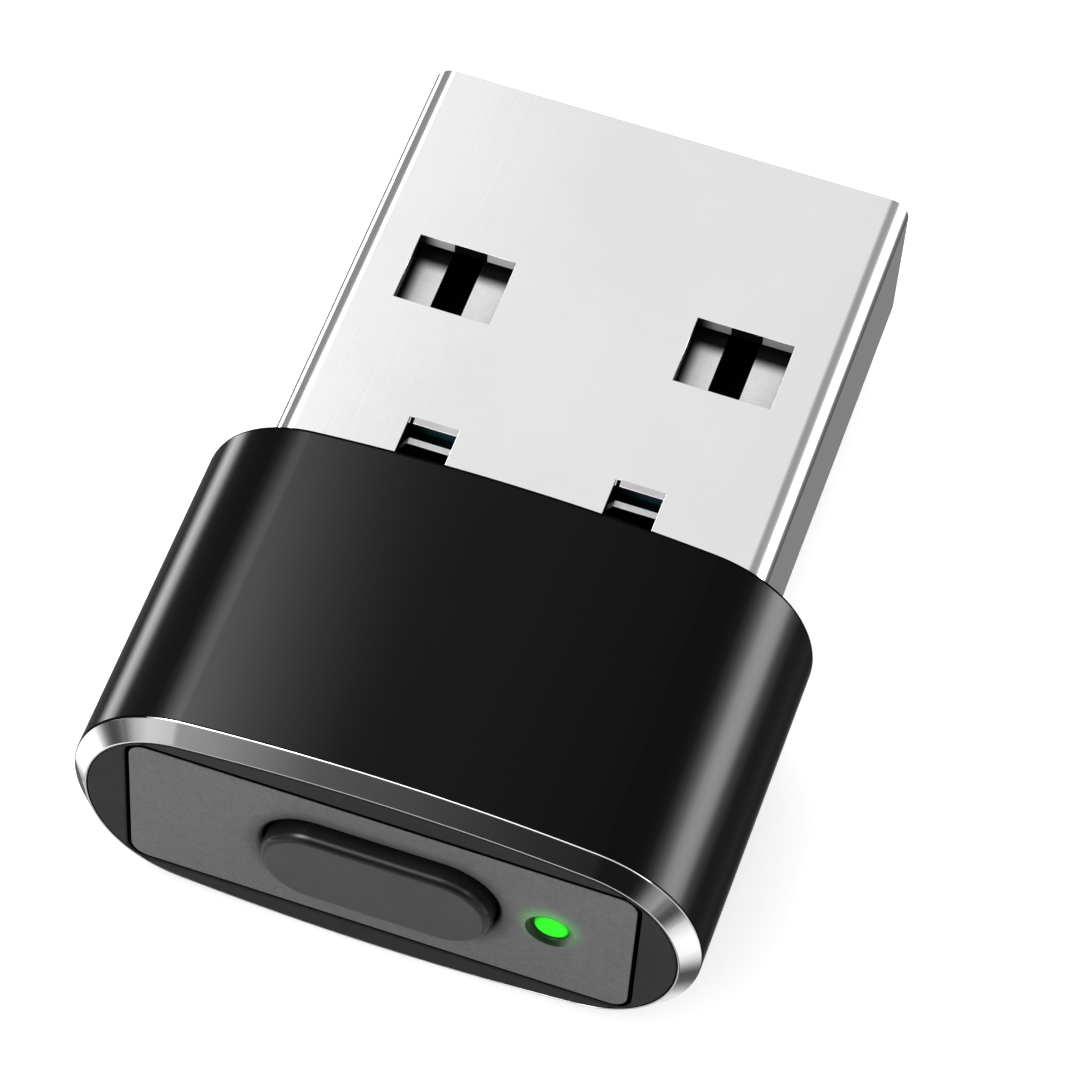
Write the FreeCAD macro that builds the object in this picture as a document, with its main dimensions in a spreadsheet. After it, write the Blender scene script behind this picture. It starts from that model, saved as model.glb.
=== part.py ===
import FreeCAD, Part
import math
import os
import re
import Sketcher
from FreeCAD import Rotation, Vector

# A mouse jiggler: a dongle with a metal sleeve, a type-A plug, a mode button and a status light.
# Millimetres. The origin is on the plug's axis in the plane of the sleeve's front face.
# +Y points the way the plug goes in and +X is across it, towards the light.
# +Z is the face with the rear slots.

os.makedirs("parts", exist_ok=True)
doc = FreeCAD.newDocument("mouse_jiggler")
sheet = doc.addObject("Spreadsheet::Sheet", "Sizes")

SIZES = (
    # Sleeve: a drawn cup with crowned faces and round ends
    ("sleeve_side", 1.425, "sleeve beyond the plug's sides"),
    ("sleeve_cover", 1.22, "sleeve's crown above the plug's face"),
    ("sleeve_wall", 0.45, "sleeve side wall"),
    ("front_wall", 0.8, "sleeve wall around the plug"),
    ("crown_radius", 40.2, "crown of the wide faces"),
    ("end_margin", 0.11, "round end's radius beyond half the thickness"),
    ("chamfer_size", 0.4, "polished chamfer at the rear edge"),
    ("front_edge_radius", 0.12, "rounding of the front edge"),
    ("plug_clearance", 0.05, "gap between plug shell and sleeve"),
    # Inner frame, front collar and rear plate
    ("frame_fit", 0.01, "glue film between frame and sleeve"),
    ("collar_thickness", 0.8, "plastic collar behind the front wall"),
    ("bezel_side", 1.39, "sleeve's end to the plate's opening"),
    ("bezel_top", 1.10, "sleeve's crown to the plate's opening"),
    ("opening_corner", 0.5, "corner of the plate's opening"),
    ("ledge", 0.35, "seat that the rear plate rests on"),
    ("plate_gap", 0.08, "gap round the rear plate"),
    ("plate_thickness", 0.8, "rear plate"),
    ("plate_edge_radius", 0.05, "rounding of the plate's outer edge"),
    ("rim_radius", 0.15, "rounding of the button and light openings"),
    ("hook_thickness", 0.4, "plate hook arm"),
    ("hook_height", 1.2, "plate hook, along the plate's height"),
    ("hook_rise", 0.15, "plate hook's middle above the axis"),
    ("hook_length", 0.95, "plate hook arm behind the plate"),
    ("barb_length", 0.3, "barb along the hook"),
    ("barb_depth", 0.2, "barb beyond the arm"),
    ("hook_clearance", 0.05, "gap round a hook and its barb"),
    # Mode button
    ("button_proud", 0.41, "button face beyond the plate"),
    ("button_edge_radius", 0.2, "rounding of the button's face edge"),
    ("button_clearance", 0.08, "gap round the button"),
    ("flange_overlap", 0.4, "flange beyond the button's sides"),
    ("flange_thickness", 0.5, "flange behind the plate"),
    ("flange_gap", 0.02, "flange to plate at rest"),
    # Light pipe and status light
    ("lens_radius", 0.4, "light pipe in the plate"),
    ("lens_clearance", 0.02, "gap round the light pipe"),
    ("lens_recess", 0.12, "light pipe's face below the plate"),
    ("pipe_flange_radius", 0.65, "light pipe's flange"),
    ("pipe_flange_thickness", 0.4, "light pipe's flange"),
    ("light_width", 1.6, "light package across"),
    ("light_height", 1.4, "light package above the board"),
    ("light_depth", 0.7, "light package along the plug's axis"),
    ("light_window_depth", 0.15, "clear window of the light"),
    ("light_window_margin", 0.2, "package rim round the window"),
    # Circuit board
    ("board_thickness", 0.6, "circuit board"),
    ("board_drop", 0.7, "board's top below the axis"),
    ("board_length", 5.0, "circuit board along the plug's axis"),
    ("board_setback", 0.3, "collar to board"),
    ("board_to_plate", 1.15, "board and switch to rear plate"),
    ("board_clearance", 0.04, "gap between board and its grooves"),
    ("notch_length", 1.2, "board notch for a shell leg"),
    ("notch_clearance", 0.1, "gap between a shell leg and its notch"),
    # Push switch
    ("switch_width", 3.84, "switch over its cover"),
    ("switch_depth", 2.2, "switch along the plug's axis"),
    ("switch_height", 1.4, "switch above the board"),
    ("cover_metal", 0.12, "switch cover's metal"),
    ("chamber_width", 2.2, "switch chamber across"),
    ("chamber_height", 1.04, "switch chamber"),
    ("chamber_depth", 1.38, "switch chamber along the axis"),
    ("plunger_width", 1.5, "plunger stem across"),
    ("plunger_height", 0.7, "plunger stem"),
    ("plunger_shoulder", 0.12, "plunger head beyond its stem"),
    ("plunger_head", 0.5, "plunger head along the axis"),
    ("plunger_clearance", 0.04, "gap round the plunger"),
    ("nub_width", 0.5, "nub that presses the dome"),
    ("dome_radius", 0.48, "snap dome's rim"),
    ("dome_rise", 0.26, "snap dome's height"),
    ("dome_metal", 0.05, "snap dome's metal"),
    ("terminal_width", 0.5, "switch terminal"),
    ("terminal_reach", 0.4, "switch terminal beyond the cover"),
    ("terminal_metal", 0.15, "switch terminal"),
    ("terminal_inset", 0.3, "switch terminal from the switch's ends"),
    # Controller, crystal, capacitors and resistors
    ("controller_height", 0.75, "controller chip"),
    ("pad_width", 0.28, "controller pad"),
    ("pad_reach", 0.12, "controller pad beyond the chip"),
    ("pad_length", 0.4, "controller pad under the chip"),
    ("pad_height", 0.1, "controller above the board"),
    ("crystal_height", 0.35, "crystal's ceramic base"),
    ("crystal_lid_height", 0.15, "crystal's metal lid"),
    ("crystal_lid_margin", 0.12, "base rim round the lid"),
    ("chip_length", 1.0, "capacitor or resistor"),
    ("chip_width", 0.5, "capacitor or resistor"),
    ("chip_end", 0.22, "metal end of a capacitor or resistor"),
    ("capacitor_height", 0.5, "capacitor"),
    ("resistor_height", 0.32, "resistor"),
    ("resistor_pitch", 1.1, "resistors, centre to centre"),
    # Plug shell
    ("plug_width", 12.0, "plug shell across"),
    ("plug_thickness", 4.5, "plug shell"),
    ("plug_reach", 11.9, "plug shell in front of the sleeve"),
    ("sheet_metal", 0.3, "plug shell's metal"),
    ("shell_corner", 0.4, "plug shell's outside bends"),
    ("window_side", 1.35, "shell's side to window"),
    ("window_width", 2.39, "window across"),
    ("window_length", 1.95, "window along the plug"),
    ("window_setback", 5.03, "tip to window"),
    ("slot_side", 2.89, "shell's side to rear slot"),
    ("slot_width", 1.2, "rear slot across"),
    ("slot_length", 1.5, "rear slot along the plug"),
    ("slot_reach", 1.77, "rear slot's front edge before the sleeve"),
    ("seam_gap", 0.05, "seam in the shell's underside"),
    ("seam_jog", 1.0, "sideways step of the seam"),
    ("seam_jog_length", 1.8, "seam's step along the plug"),
    ("seam_jog_setback", 4.2, "tip to the seam's step"),
    ("leg_length", 1.3, "shell leg behind the collar"),
    ("leg_height", 1.1, "shell leg"),
    ("leg_clearance", 0.05, "gap between a shell leg and the frame"),
    # Plug insulator
    ("tongue_thickness", 1.95, "insulator tongue"),
    ("tongue_recess", 0.3, "tip to tongue"),
    ("tongue_fit", 0.02, "gap between insulator and shell"),
    ("insulator_corner", 0.15, "insulator's long edges"),
    ("mouth_depth", 9.3, "tip to the bottom of the plug's mouth"),
    ("pocket_depth", 0.62, "pocket under a window"),
    ("pocket_margin", 0.3, "pocket beyond the window's sides"),
    ("pocket_reach", 0.75, "pocket beyond the window towards the tip"),
    ("core_width", 0.9, "moulding core slot in a pocket"),
    ("core_reach", 0.35, "core slot beyond the pocket"),
    ("recess_depth", 0.9, "recess under a rear slot"),
    ("recess_margin", 0.1, "recess beyond the slot's sides"),
    ("lug_length", 0.15, "lug across the recess"),
    ("lug_gap", 0.23, "lug to the slot's front edge"),
    # Contacts and solder
    ("contact_width", 1.0, "plug contact"),
    ("contact_metal", 0.25, "plug contact"),
    ("contact_proud", 0.05, "contact beyond the tongue's face"),
    ("contact_inner", 1.0, "inner contacts from the middle"),
    ("contact_side", 2.5, "shell's side to the middle of an outer contact"),
    ("outer_setback", 1.3, "tongue's end to the outer contacts"),
    ("inner_setback", 2.3, "tongue's end to the inner contacts"),
    ("contact_clearance", 0.02, "gap round a contact"),
    ("tail_drop_gap", 0.1, "insulator to the tail's bend"),
    ("foot_length", 1.0, "contact foot on the board"),
    ("solder_length", 0.3, "solder beyond a foot"),
    ("solder_height", 0.18, "solder on the board"),
    ("solder_margin", 0.08, "solder beyond a foot's sides"),
    # Any cut's overrun
    ("overrun", 0.5, "how far a cutter passes its wall"),
)
ALIASES = {alias for alias, value, words in SIZES}

# Of the round end's radius: the arc between a crowned face and a round end
CHEEK_SHARE = 0.799
# Of the rear opening's height and width: the radius of the button's ends and the button's width
BUTTON_RADIUS_SHARE = 0.2616
BUTTON_WIDTH_SHARE = 0.454
# Of the space from the button's flange to the opening's side: the light's centre
LIGHT_SHARE = 0.342
# Of the free width beside the switch and of the board's free length behind the solder
CONTROLLER_WIDTH_SHARE = 0.86
CONTROLLER_LENGTH_SHARE = 0.8
CRYSTAL_ACROSS_SHARE = 0.35
CRYSTAL_LENGTH_SHARE = 0.59
CRYSTAL_BEHIND_SHARE = 0.3
CRYSTAL_WIDTH_SHARE = 0.44
CAPACITOR_ACROSS_SHARE = 0.856
# Of the board's length: the first capacitor behind its front, and the steps to the others
CAPACITOR_START_SHARE = 0.255
CAPACITOR_STEP_SHARE = 0.245
# Of the controller's side: from pad to pad
PAD_STEP_SHARE = 0.2
# Places of the four pads on a side, in steps from its middle
PAD_PLACE_SHARES = (-1.5, -0.5, 0.5, 1.5)

# Words that stand for an expression of the sizes
FOLLOWING = {
    "sleeve_width": "plug_width + 2 * sleeve_side",
    "sleeve_thickness": "plug_thickness + 2 * sleeve_cover",
    "sleeve_length": "front_wall + collar_thickness + board_setback + board_length + board_to_plate"
                     " + plate_thickness",
    "end_radius": "sleeve_thickness / 2 + end_margin",
    "cheek_radius": f"{CHEEK_SHARE} * end_radius",
    "opening_width": "sleeve_width - 2 * bezel_side",
    "opening_height": "sleeve_thickness - 2 * bezel_top",
    "cavity_width": "opening_width - 2 * ledge",
    "cavity_height": "opening_height - 2 * ledge",
    "hook_side": "cavity_width / 2 - hook_clearance",
    "button_radius": f"{BUTTON_RADIUS_SHARE} * opening_height",
    "button_straight": f"{BUTTON_WIDTH_SHARE} * opening_width - 2 * button_radius",
    "flange_side": "button_straight / 2 + button_radius + flange_overlap",
    "light_across": f"flange_side + {LIGHT_SHARE} * (cavity_width / 2 - flange_side)",
    "board_half": "opening_width / 2 - board_clearance",
    "switch_side": "switch_width / 2 + terminal_reach",
    "free_width": "cavity_width / 2 - switch_side",
    "free_length": "collar_rear - tail_drop_gap - contact_metal - foot_length - solder_length - board_rear",
    "controller_width": f"{CONTROLLER_WIDTH_SHARE} * free_width",
    "controller_length": f"{CONTROLLER_LENGTH_SHARE} * free_length",
    "controller_across": "switch_side + free_width / 2",
    "crystal_across": f"switch_side + {CRYSTAL_ACROSS_SHARE} * free_width",
    "crystal_length": f"{CRYSTAL_LENGTH_SHARE} * free_width",
    "crystal_width": f"{CRYSTAL_WIDTH_SHARE} * free_length",
    "capacitor_across": f"switch_side + {CAPACITOR_ACROSS_SHARE} * free_width",
    "window_inner": "plug_width / 2 - window_side - window_width",
    "slot_inner": "plug_width / 2 - slot_side - slot_width",
    "contact_outer": "plug_width / 2 - contact_side",
    "inner_half": "plug_width / 2 - sheet_metal",
    "inner_top": "plug_thickness / 2 - sheet_metal",
    # Levels along Y, from the tip to the rear
    "tongue_end": "plug_reach - tongue_recess",
    "mouth_bottom": "plug_reach - mouth_depth",
    "collar_front": "-front_wall",
    "collar_rear": "-front_wall - collar_thickness",
    "board_front": "collar_rear - board_setback",
    "solder_rear": "board_rear + free_length",
    "board_rear": "board_front - board_length",
    "plate_inner": "board_rear - board_to_plate",
    "rear": "-sleeve_length",
    "button_seat": "plate_inner + flange_gap + flange_thickness",
    # Levels along Z
    "board_top": "-board_drop",
    "board_under": "-board_drop - board_thickness",
    "tongue_top": "inner_top - tongue_fit",
    "tongue_face": "tongue_top - tongue_thickness",
    "contact_face": "tongue_face - contact_proud",
    "contact_back": "contact_face + contact_metal",
}

for row, (alias, value, words) in enumerate(SIZES, start=1):
    sheet.set("A%d" % row, words)
    sheet.set("B%d" % row, str(value))
    sheet.setAlias("B%d" % row, alias)
doc.recompute()


def bound(expression):
    """The expression with every size read from the sheet."""
    def cell(match):
        word = match.group()
        if word in FOLLOWING:
            return "(" + bound(FOLLOWING[word]) + ")"
        return "Sizes." + word if word in ALIASES else word
    return re.sub(r"[a-z_]+", cell, expression)


def number(expression):
    return float(sheet.evalExpression(bound(expression)))


# Plain solids

def span(middle, size):
    """The two ends of a stretch of this size about its middle."""
    return f"({middle}) - ({size}) / 2", f"({middle}) + ({size}) / 2"


def block(name, x, y, z):
    """A box between the low and high ends given along each axis."""
    box = doc.addObject("Part::Box", name)
    for side, axis, (low, high) in zip(("Length", "Width", "Height"), "xyz", (x, y, z)):
        box.setExpression(side, bound(f"({high}) - ({low})"))
        box.setExpression("Placement.Base." + axis, bound(low))
    return box


def rod(name, x, y, radius):
    """A cylinder along Y at height zero, between the two ends in y."""
    cylinder = doc.addObject("Part::Cylinder", name)
    cylinder.Placement.Rotation = Rotation(Vector(1, 0, 0), -90)
    cylinder.setExpression("Radius", bound(radius))
    cylinder.setExpression("Height", bound(f"({y[1]}) - ({y[0]})"))
    cylinder.setExpression("Placement.Base.x", bound(x))
    cylinder.setExpression("Placement.Base.y", bound(y[0]))
    return cylinder


def joined(name, kind, pieces):
    shape = doc.addObject(kind, name)
    if kind == "Part::Compound":
        shape.Links = pieces
    else:
        shape.Shapes = pieces
        shape.Refine = True
    return shape


def fused(name, *pieces):
    return joined(name, "Part::MultiFuse", list(pieces))


def group(name, pieces):
    """Separate solids that share one node."""
    return joined(name, "Part::Compound", pieces)


def cut(name, base, *tools):
    result = doc.addObject("Part::Cut", name)
    result.Base = base
    result.Tool = tools[0] if len(tools) == 1 else group(name + "_cutters", list(tools))
    result.Refine = True
    return result


# Of the overrun: how near a plane an edge has to lie to be in it
NEAR_SHARE = 0.001

# Sketches and features. Each sketch holds one outline, centred on its own origin.

def new_sketch(body, level, across="0", height="0"):
    """A sketch square to Y at this level, with its origin at (across, height)."""
    sketch = body.newObject("Sketcher::SketchObject", body.Name + "_sketch")
    plane = next(item for item in body.Origin.OriginFeatures if item.Role == "XZ_Plane")
    sketch.AttachmentSupport = [(plane, "")]
    sketch.MapMode = "FlatFace"
    for axis, place in zip("xyz", (across, height, f"-({level})")):
        sketch.setExpression("AttachmentOffset.Base." + axis, bound(place))
    return sketch


def dimension(sketch, size, kind, *references):
    """A driving dimension that follows the sheet."""
    index = sketch.addConstraint(Sketcher.Constraint(kind, *references, number(size)))
    sketch.setExpression("Constraints[%d]" % index, bound(size))


def relate(sketch, kind, *references):
    sketch.addConstraint(Sketcher.Constraint(kind, *references))


def arc(centre, radius, start, end):
    circle = Part.Circle(Vector(centre[0], centre[1], 0), Vector(0, 0, 1), radius)
    return Part.ArcOfCircle(circle, start, end)


def chain(sketch, curves):
    """Adds curves that run on from each other, tangent at every joint."""
    ids = [sketch.addGeometry(curve, False) for curve in curves]
    for this, following in zip(ids, ids[1:] + ids[:1]):
        relate(sketch, "Tangent", this, 2, following, 1)
    return ids


def crowned(sketch, inset="0"):
    """The sleeve's outline, drawn in by the inset: two crowns, two round ends, four cheeks."""
    radii = ("crown_radius", "cheek_radius", "end_radius")
    crown, cheek, end = (number(f"{radius} - ({inset})") for radius in radii)
    crown_drop = number("crown_radius - sleeve_thickness / 2")
    end_across = number("sleeve_width / 2 - end_radius")
    reach = math.hypot(end_across, crown_drop)
    along = ((crown - cheek) ** 2 - (end - cheek) ** 2 + reach ** 2) / (2 * reach)
    aside = math.sqrt((crown - cheek) ** 2 - along ** 2)
    cheek_x = (along * end_across + aside * crown_drop) / reach
    cheek_z = (along * crown_drop - aside * end_across) / reach - crown_drop
    low = math.atan2(cheek_z, cheek_x - end_across)
    high = math.atan2(cheek_z + crown_drop, cheek_x)
    turn = math.pi
    right, cheek_a, top, cheek_b, left, cheek_c, under, cheek_d = chain(sketch, (
        arc((end_across, 0), end, -low, low),
        arc((cheek_x, cheek_z), cheek, low, high),
        arc((0, -crown_drop), crown, high, turn - high),
        arc((-cheek_x, cheek_z), cheek, turn - high, turn - low),
        arc((-end_across, 0), end, turn - low, turn + low),
        arc((-cheek_x, -cheek_z), cheek, turn + low, turn + high),
        arc((0, crown_drop), crown, turn + high, 2 * turn - high),
        arc((cheek_x, -cheek_z), cheek, 2 * turn - high, 2 * turn - low),
    ))
    for curve in (top, under):
        relate(sketch, "PointOnObject", curve, 3, -2)
    for curve in (left, right):
        relate(sketch, "PointOnObject", curve, 3, -1)
    relate(sketch, "Equal", top, under)
    relate(sketch, "Equal", right, left)
    for curve in (cheek_b, cheek_c, cheek_d):
        relate(sketch, "Equal", cheek_a, curve)
    dimension(sketch, f"crown_radius - ({inset})", "Radius", top)
    dimension(sketch, f"end_radius - ({inset})", "Radius", right)
    dimension(sketch, f"cheek_radius - ({inset})", "Radius", cheek_a)
    dimension(sketch, "crown_radius - sleeve_thickness / 2", "DistanceY", top, 3, -1, 1)
    dimension(sketch, "crown_radius - sleeve_thickness / 2", "DistanceY", -1, 1, under, 3)
    dimension(sketch, "sleeve_width / 2 - end_radius", "DistanceX", -1, 1, right, 3)
    dimension(sketch, "sleeve_width / 2 - end_radius", "DistanceX", left, 3, -1, 1)


def rounded(sketch, width, height, corner):
    """A rectangle with round corners."""
    half_width, half_height, radius = number(f"({width}) / 2"), number(f"({height}) / 2"), number(corner)
    x, z = half_width - radius, half_height - radius
    quarter = math.pi / 2
    right, corner_a, top, corner_b, left, corner_c, under, corner_d = chain(sketch, (
        Part.LineSegment(Vector(half_width, -z, 0), Vector(half_width, z, 0)),
        arc((x, z), radius, 0, quarter),
        Part.LineSegment(Vector(x, half_height, 0), Vector(-x, half_height, 0)),
        arc((-x, z), radius, quarter, 2 * quarter),
        Part.LineSegment(Vector(-half_width, z, 0), Vector(-half_width, -z, 0)),
        arc((-x, -z), radius, 2 * quarter, 3 * quarter),
        Part.LineSegment(Vector(-x, -half_height, 0), Vector(x, -half_height, 0)),
        arc((x, -z), radius, 3 * quarter, 4 * quarter),
    ))
    for line in (top, under):
        relate(sketch, "Horizontal", line)
    for line in (left, right):
        relate(sketch, "Vertical", line)
    for curve in (corner_b, corner_c, corner_d):
        relate(sketch, "Equal", corner_a, curve)
    dimension(sketch, corner, "Radius", corner_a)
    dimension(sketch, width, "DistanceX", left, 1, right, 1)
    dimension(sketch, height, "DistanceY", under, 1, top, 1)
    relate(sketch, "Symmetric", corner_a, 3, corner_c, 3, -1, 1)


def stadium(sketch, straight, radius):
    """Two half circles joined by straight sides."""
    x, size = number(f"({straight}) / 2"), number(radius)
    quarter = math.pi / 2
    right, top, left, under = chain(sketch, (
        arc((x, 0), size, -quarter, quarter),
        Part.LineSegment(Vector(x, size, 0), Vector(-x, size, 0)),
        arc((-x, 0), size, quarter, 3 * quarter),
        Part.LineSegment(Vector(-x, -size, 0), Vector(x, -size, 0)),
    ))
    relate(sketch, "Horizontal", top)
    relate(sketch, "Equal", right, left)
    dimension(sketch, radius, "Radius", right)
    dimension(sketch, straight, "DistanceX", left, 3, right, 3)
    relate(sketch, "Symmetric", left, 3, right, 3, -1, 1)


def round_hole(sketch, radius):
    circle = sketch.addGeometry(Part.Circle(Vector(), Vector(0, 0, 1), number(radius)), False)
    relate(sketch, "Coincident", circle, 3, -1, 1)
    dimension(sketch, radius, "Radius", circle)


def feature(body, kind, sketch, length):
    """A pad or pocket that runs from its sketch towards the rear."""
    result = body.newObject("PartDesign::" + kind, body.Name + "_" + kind.lower())
    result.Profile = sketch
    result.setExpression("Length", bound(length))
    result.Reversed = kind == "Pocket"
    sketch.Visibility = False
    body.Tip = result
    return result


def dressed(body, kind, edge_test, size):
    """A fillet or chamfer on the edges of the body's last feature that pass the test."""
    doc.recompute()
    base = body.Tip
    edges = ["Edge%d" % count for count, edge in enumerate(base.Shape.Edges, start=1) if edge_test(edge)]
    result = body.newObject("PartDesign::" + kind, body.Name + "_" + kind.lower())
    result.Base = (base, edges)
    result.setExpression("Radius" if kind == "Fillet" else "Size", bound(size))
    body.Tip = result
    return result


def lies_at(level):
    """A test for edges that lie in the plane square to Y at this level."""
    place = number(level)
    near = NEAR_SHARE * number("overrun")

    def test(edge):
        box = edge.BoundBox
        return abs(box.YMin - place) < near and abs(box.YMax - place) < near
    return test


# Housing

def make_sleeve():
    body = doc.addObject("PartDesign::Body", "sleeve")
    outer = new_sketch(body, "0")
    crowned(outer)
    feature(body, "Pad", outer, "sleeve_length")
    dressed(body, "Chamfer", lies_at("rear"), "chamfer_size")
    dressed(body, "Fillet", lies_at("0"), "front_edge_radius")
    inside = new_sketch(body, "collar_front")
    crowned(inside, "sleeve_wall")
    feature(body, "Pocket", inside, "sleeve_length - front_wall + overrun")
    mouth = new_sketch(body, "overrun")
    rounded(mouth, "plug_width + 2 * plug_clearance", "plug_thickness + 2 * plug_clearance",
            "shell_corner + plug_clearance")
    feature(body, "Pocket", mouth, "front_wall + 2 * overrun")
    return body


def make_front_collar():
    """Holds the shell square behind the sleeve's front wall."""
    body = doc.addObject("PartDesign::Body", "front_collar")
    outer = new_sketch(body, "collar_front")
    crowned(outer, "sleeve_wall + frame_fit")
    feature(body, "Pad", outer, "collar_thickness")
    mouth = new_sketch(body, "collar_front + overrun")
    rounded(mouth, "plug_width", "plug_thickness", "shell_corner")
    feature(body, "Pocket", mouth, "collar_thickness + 2 * overrun")
    return body


def make_inner_frame():
    """Fills the sleeve behind the collar, seats the rear plate and guides the board."""
    body = doc.addObject("PartDesign::Body", "inner_frame_moulding")
    outer = new_sketch(body, "collar_rear")
    crowned(outer, "sleeve_wall + frame_fit")
    feature(body, "Pad", outer, "collar_rear + sleeve_length")
    opening = new_sketch(body, "plate_inner")
    rounded(opening, "opening_width", "opening_height", "opening_corner")
    feature(body, "Pocket", opening, "plate_thickness + overrun")
    cavity = new_sketch(body, "collar_rear + overrun")
    rounded(cavity, "cavity_width", "cavity_height", "opening_corner")
    feature(body, "Pocket", cavity, "sleeve_length + overrun")
    groove = block("board_groove", span("0", "opening_width"), ("plate_inner", "collar_rear + overrun"),
                   ("board_under - board_clearance", "board_top + board_clearance"))
    low, high = span("hook_rise", "hook_height + 2 * hook_clearance")
    catches = block("hook_catches", span("0", "2 * (hook_side + barb_depth + hook_clearance)"),
                    ("plate_inner + hook_length - barb_length - hook_clearance",
                     "plate_inner + hook_length + hook_clearance"), (low, high))
    leg_reliefs = block("leg_reliefs", span("0", "plug_width + 2 * leg_clearance"),
                        ("collar_rear - leg_length - leg_clearance", "collar_rear + overrun"),
                        span("board_top", "leg_height + 2 * leg_clearance"))
    return cut("inner_frame", body, fused("inner_frame_cutters", groove, catches, leg_reliefs))


def make_rear_plate():
    body = doc.addObject("PartDesign::Body", "rear_plate_panel")
    outer = new_sketch(body, "plate_inner")
    rounded(outer, "opening_width - 2 * plate_gap", "opening_height - 2 * plate_gap",
            "opening_corner - plate_gap")
    feature(body, "Pad", outer, "plate_thickness")
    dressed(body, "Fillet", lies_at("rear"), "plate_edge_radius")
    button_hole = new_sketch(body, "plate_inner + overrun")
    stadium(button_hole, "button_straight", "button_radius + button_clearance")
    feature(body, "Pocket", button_hole, "plate_thickness + 2 * overrun")
    light_hole = new_sketch(body, "plate_inner + overrun", "light_across")
    round_hole(light_hole, "lens_radius + lens_clearance")
    feature(body, "Pocket", light_hole, "plate_thickness + 2 * overrun")
    face = lies_at("rear")
    reach = number("light_across + lens_radius + 2 * rim_radius")

    def is_rim(edge):
        return face(edge) and max(abs(edge.BoundBox.XMin), abs(edge.BoundBox.XMax)) < reach
    dressed(body, "Fillet", is_rim, "rim_radius")
    pieces = [body]
    for side, sign in (("left", "-1"), ("right", "1")):
        arm_middle = f"{sign} * (hook_side - hook_thickness / 2)"
        barb_middle = f"{sign} * (hook_side + barb_depth / 2)"
        hook_z = span("hook_rise", "hook_height")
        hook_end = "plate_inner + hook_length"
        pieces.append(block(side + "_arm", span(arm_middle, "hook_thickness"),
                            ("plate_inner", hook_end), hook_z))
        pieces.append(block(side + "_barb", span(barb_middle, "barb_depth"),
                            (f"{hook_end} - barb_length", hook_end), hook_z))
    return fused("rear_plate", *pieces)


def make_mode_button():
    body = doc.addObject("PartDesign::Body", "mode_button")
    flange = new_sketch(body, "button_seat")
    stadium(flange, "button_straight", "button_radius + flange_overlap")
    feature(body, "Pad", flange, "flange_thickness")
    stem = new_sketch(body, "button_seat")
    stadium(stem, "button_straight", "button_radius")
    feature(body, "Pad", stem, "button_seat + sleeve_length + button_proud")
    dressed(body, "Fillet", lies_at("rear - button_proud"), "button_edge_radius")
    return body


def make_light_pipe():
    light_face = "(board_rear - light_window_depth)"
    return fused(
        "light_pipe",
        rod("light_pipe_rod", "light_across", ("rear + lens_recess", light_face), "lens_radius"),
        rod("light_pipe_flange", "light_across", ("plate_inner", "plate_inner + pipe_flange_thickness"),
            "pipe_flange_radius"))


# Plug

CONTACTS = (
    ("ground_contact", "-contact_outer", "outer_setback"),
    ("data_plus_contact", "-contact_inner", "inner_setback"),
    ("data_minus_contact", "contact_inner", "inner_setback"),
    ("power_contact", "contact_outer", "outer_setback"),
)


def make_plug_shell():
    """Folded sheet with two windows on each face, rear slots, an underside seam and two legs."""
    body = doc.addObject("PartDesign::Body", "plug_shell_tube")
    outer = new_sketch(body, "plug_reach")
    rounded(outer, "plug_width", "plug_thickness", "shell_corner")
    feature(body, "Pad", outer, "plug_reach - collar_rear")
    inside = new_sketch(body, "plug_reach + overrun")
    rounded(inside, "2 * inner_half", "2 * inner_top", "shell_corner - sheet_metal")
    feature(body, "Pocket", inside, "plug_reach - collar_rear + 2 * overrun")
    through = ("-plug_thickness", "plug_thickness")
    top_sheet = ("0", "plug_thickness")
    under_sheet = ("-plug_thickness", "0")
    window_y = ("plug_reach - window_setback - window_length", "plug_reach - window_setback")
    tools = []
    for side, sign in (("left", "-1"), ("right", "1")):
        window_middle = f"{sign} * (window_inner + window_width / 2)"
        slot_middle = f"{sign} * (slot_inner + slot_width / 2)"
        tools.append(block(side + "_window", span(window_middle, "window_width"), window_y, through))
        tools.append(block(side + "_slot", span(slot_middle, "slot_width"),
                           ("slot_reach - slot_length", "slot_reach"), top_sheet))
    step_front = "(plug_reach - seam_jog_setback)"
    step_rear = f"({step_front} - seam_jog_length)"
    near, far = span("0", "seam_gap"), span("seam_jog", "seam_gap")
    tools.append(fused(
        "seam",
        block("seam_front", near, (f"{step_front} - seam_gap / 2", "plug_reach + overrun"), under_sheet),
        block("seam_step_front", (near[0], far[1]), span(step_front, "seam_gap"), under_sheet),
        block("seam_step_side", far, (step_rear, step_front), under_sheet),
        block("seam_step_rear", (near[0], far[1]), span(step_rear, "seam_gap"), under_sheet),
        block("seam_rear", near, ("collar_rear - overrun", f"{step_rear} + seam_gap / 2"), under_sheet)))
    folded = cut("plug_shell_folded", body, *tools)
    legs = [block(side + "_leg", span(f"{sign} * (plug_width / 2 - sheet_metal / 2)", "sheet_metal"),
                  ("collar_rear - leg_length", "collar_rear"), span("board_top", "leg_height"))
            for side, sign in (("left", "-1"), ("right", "1"))]
    return fused("plug_shell", folded, *legs)


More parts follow.
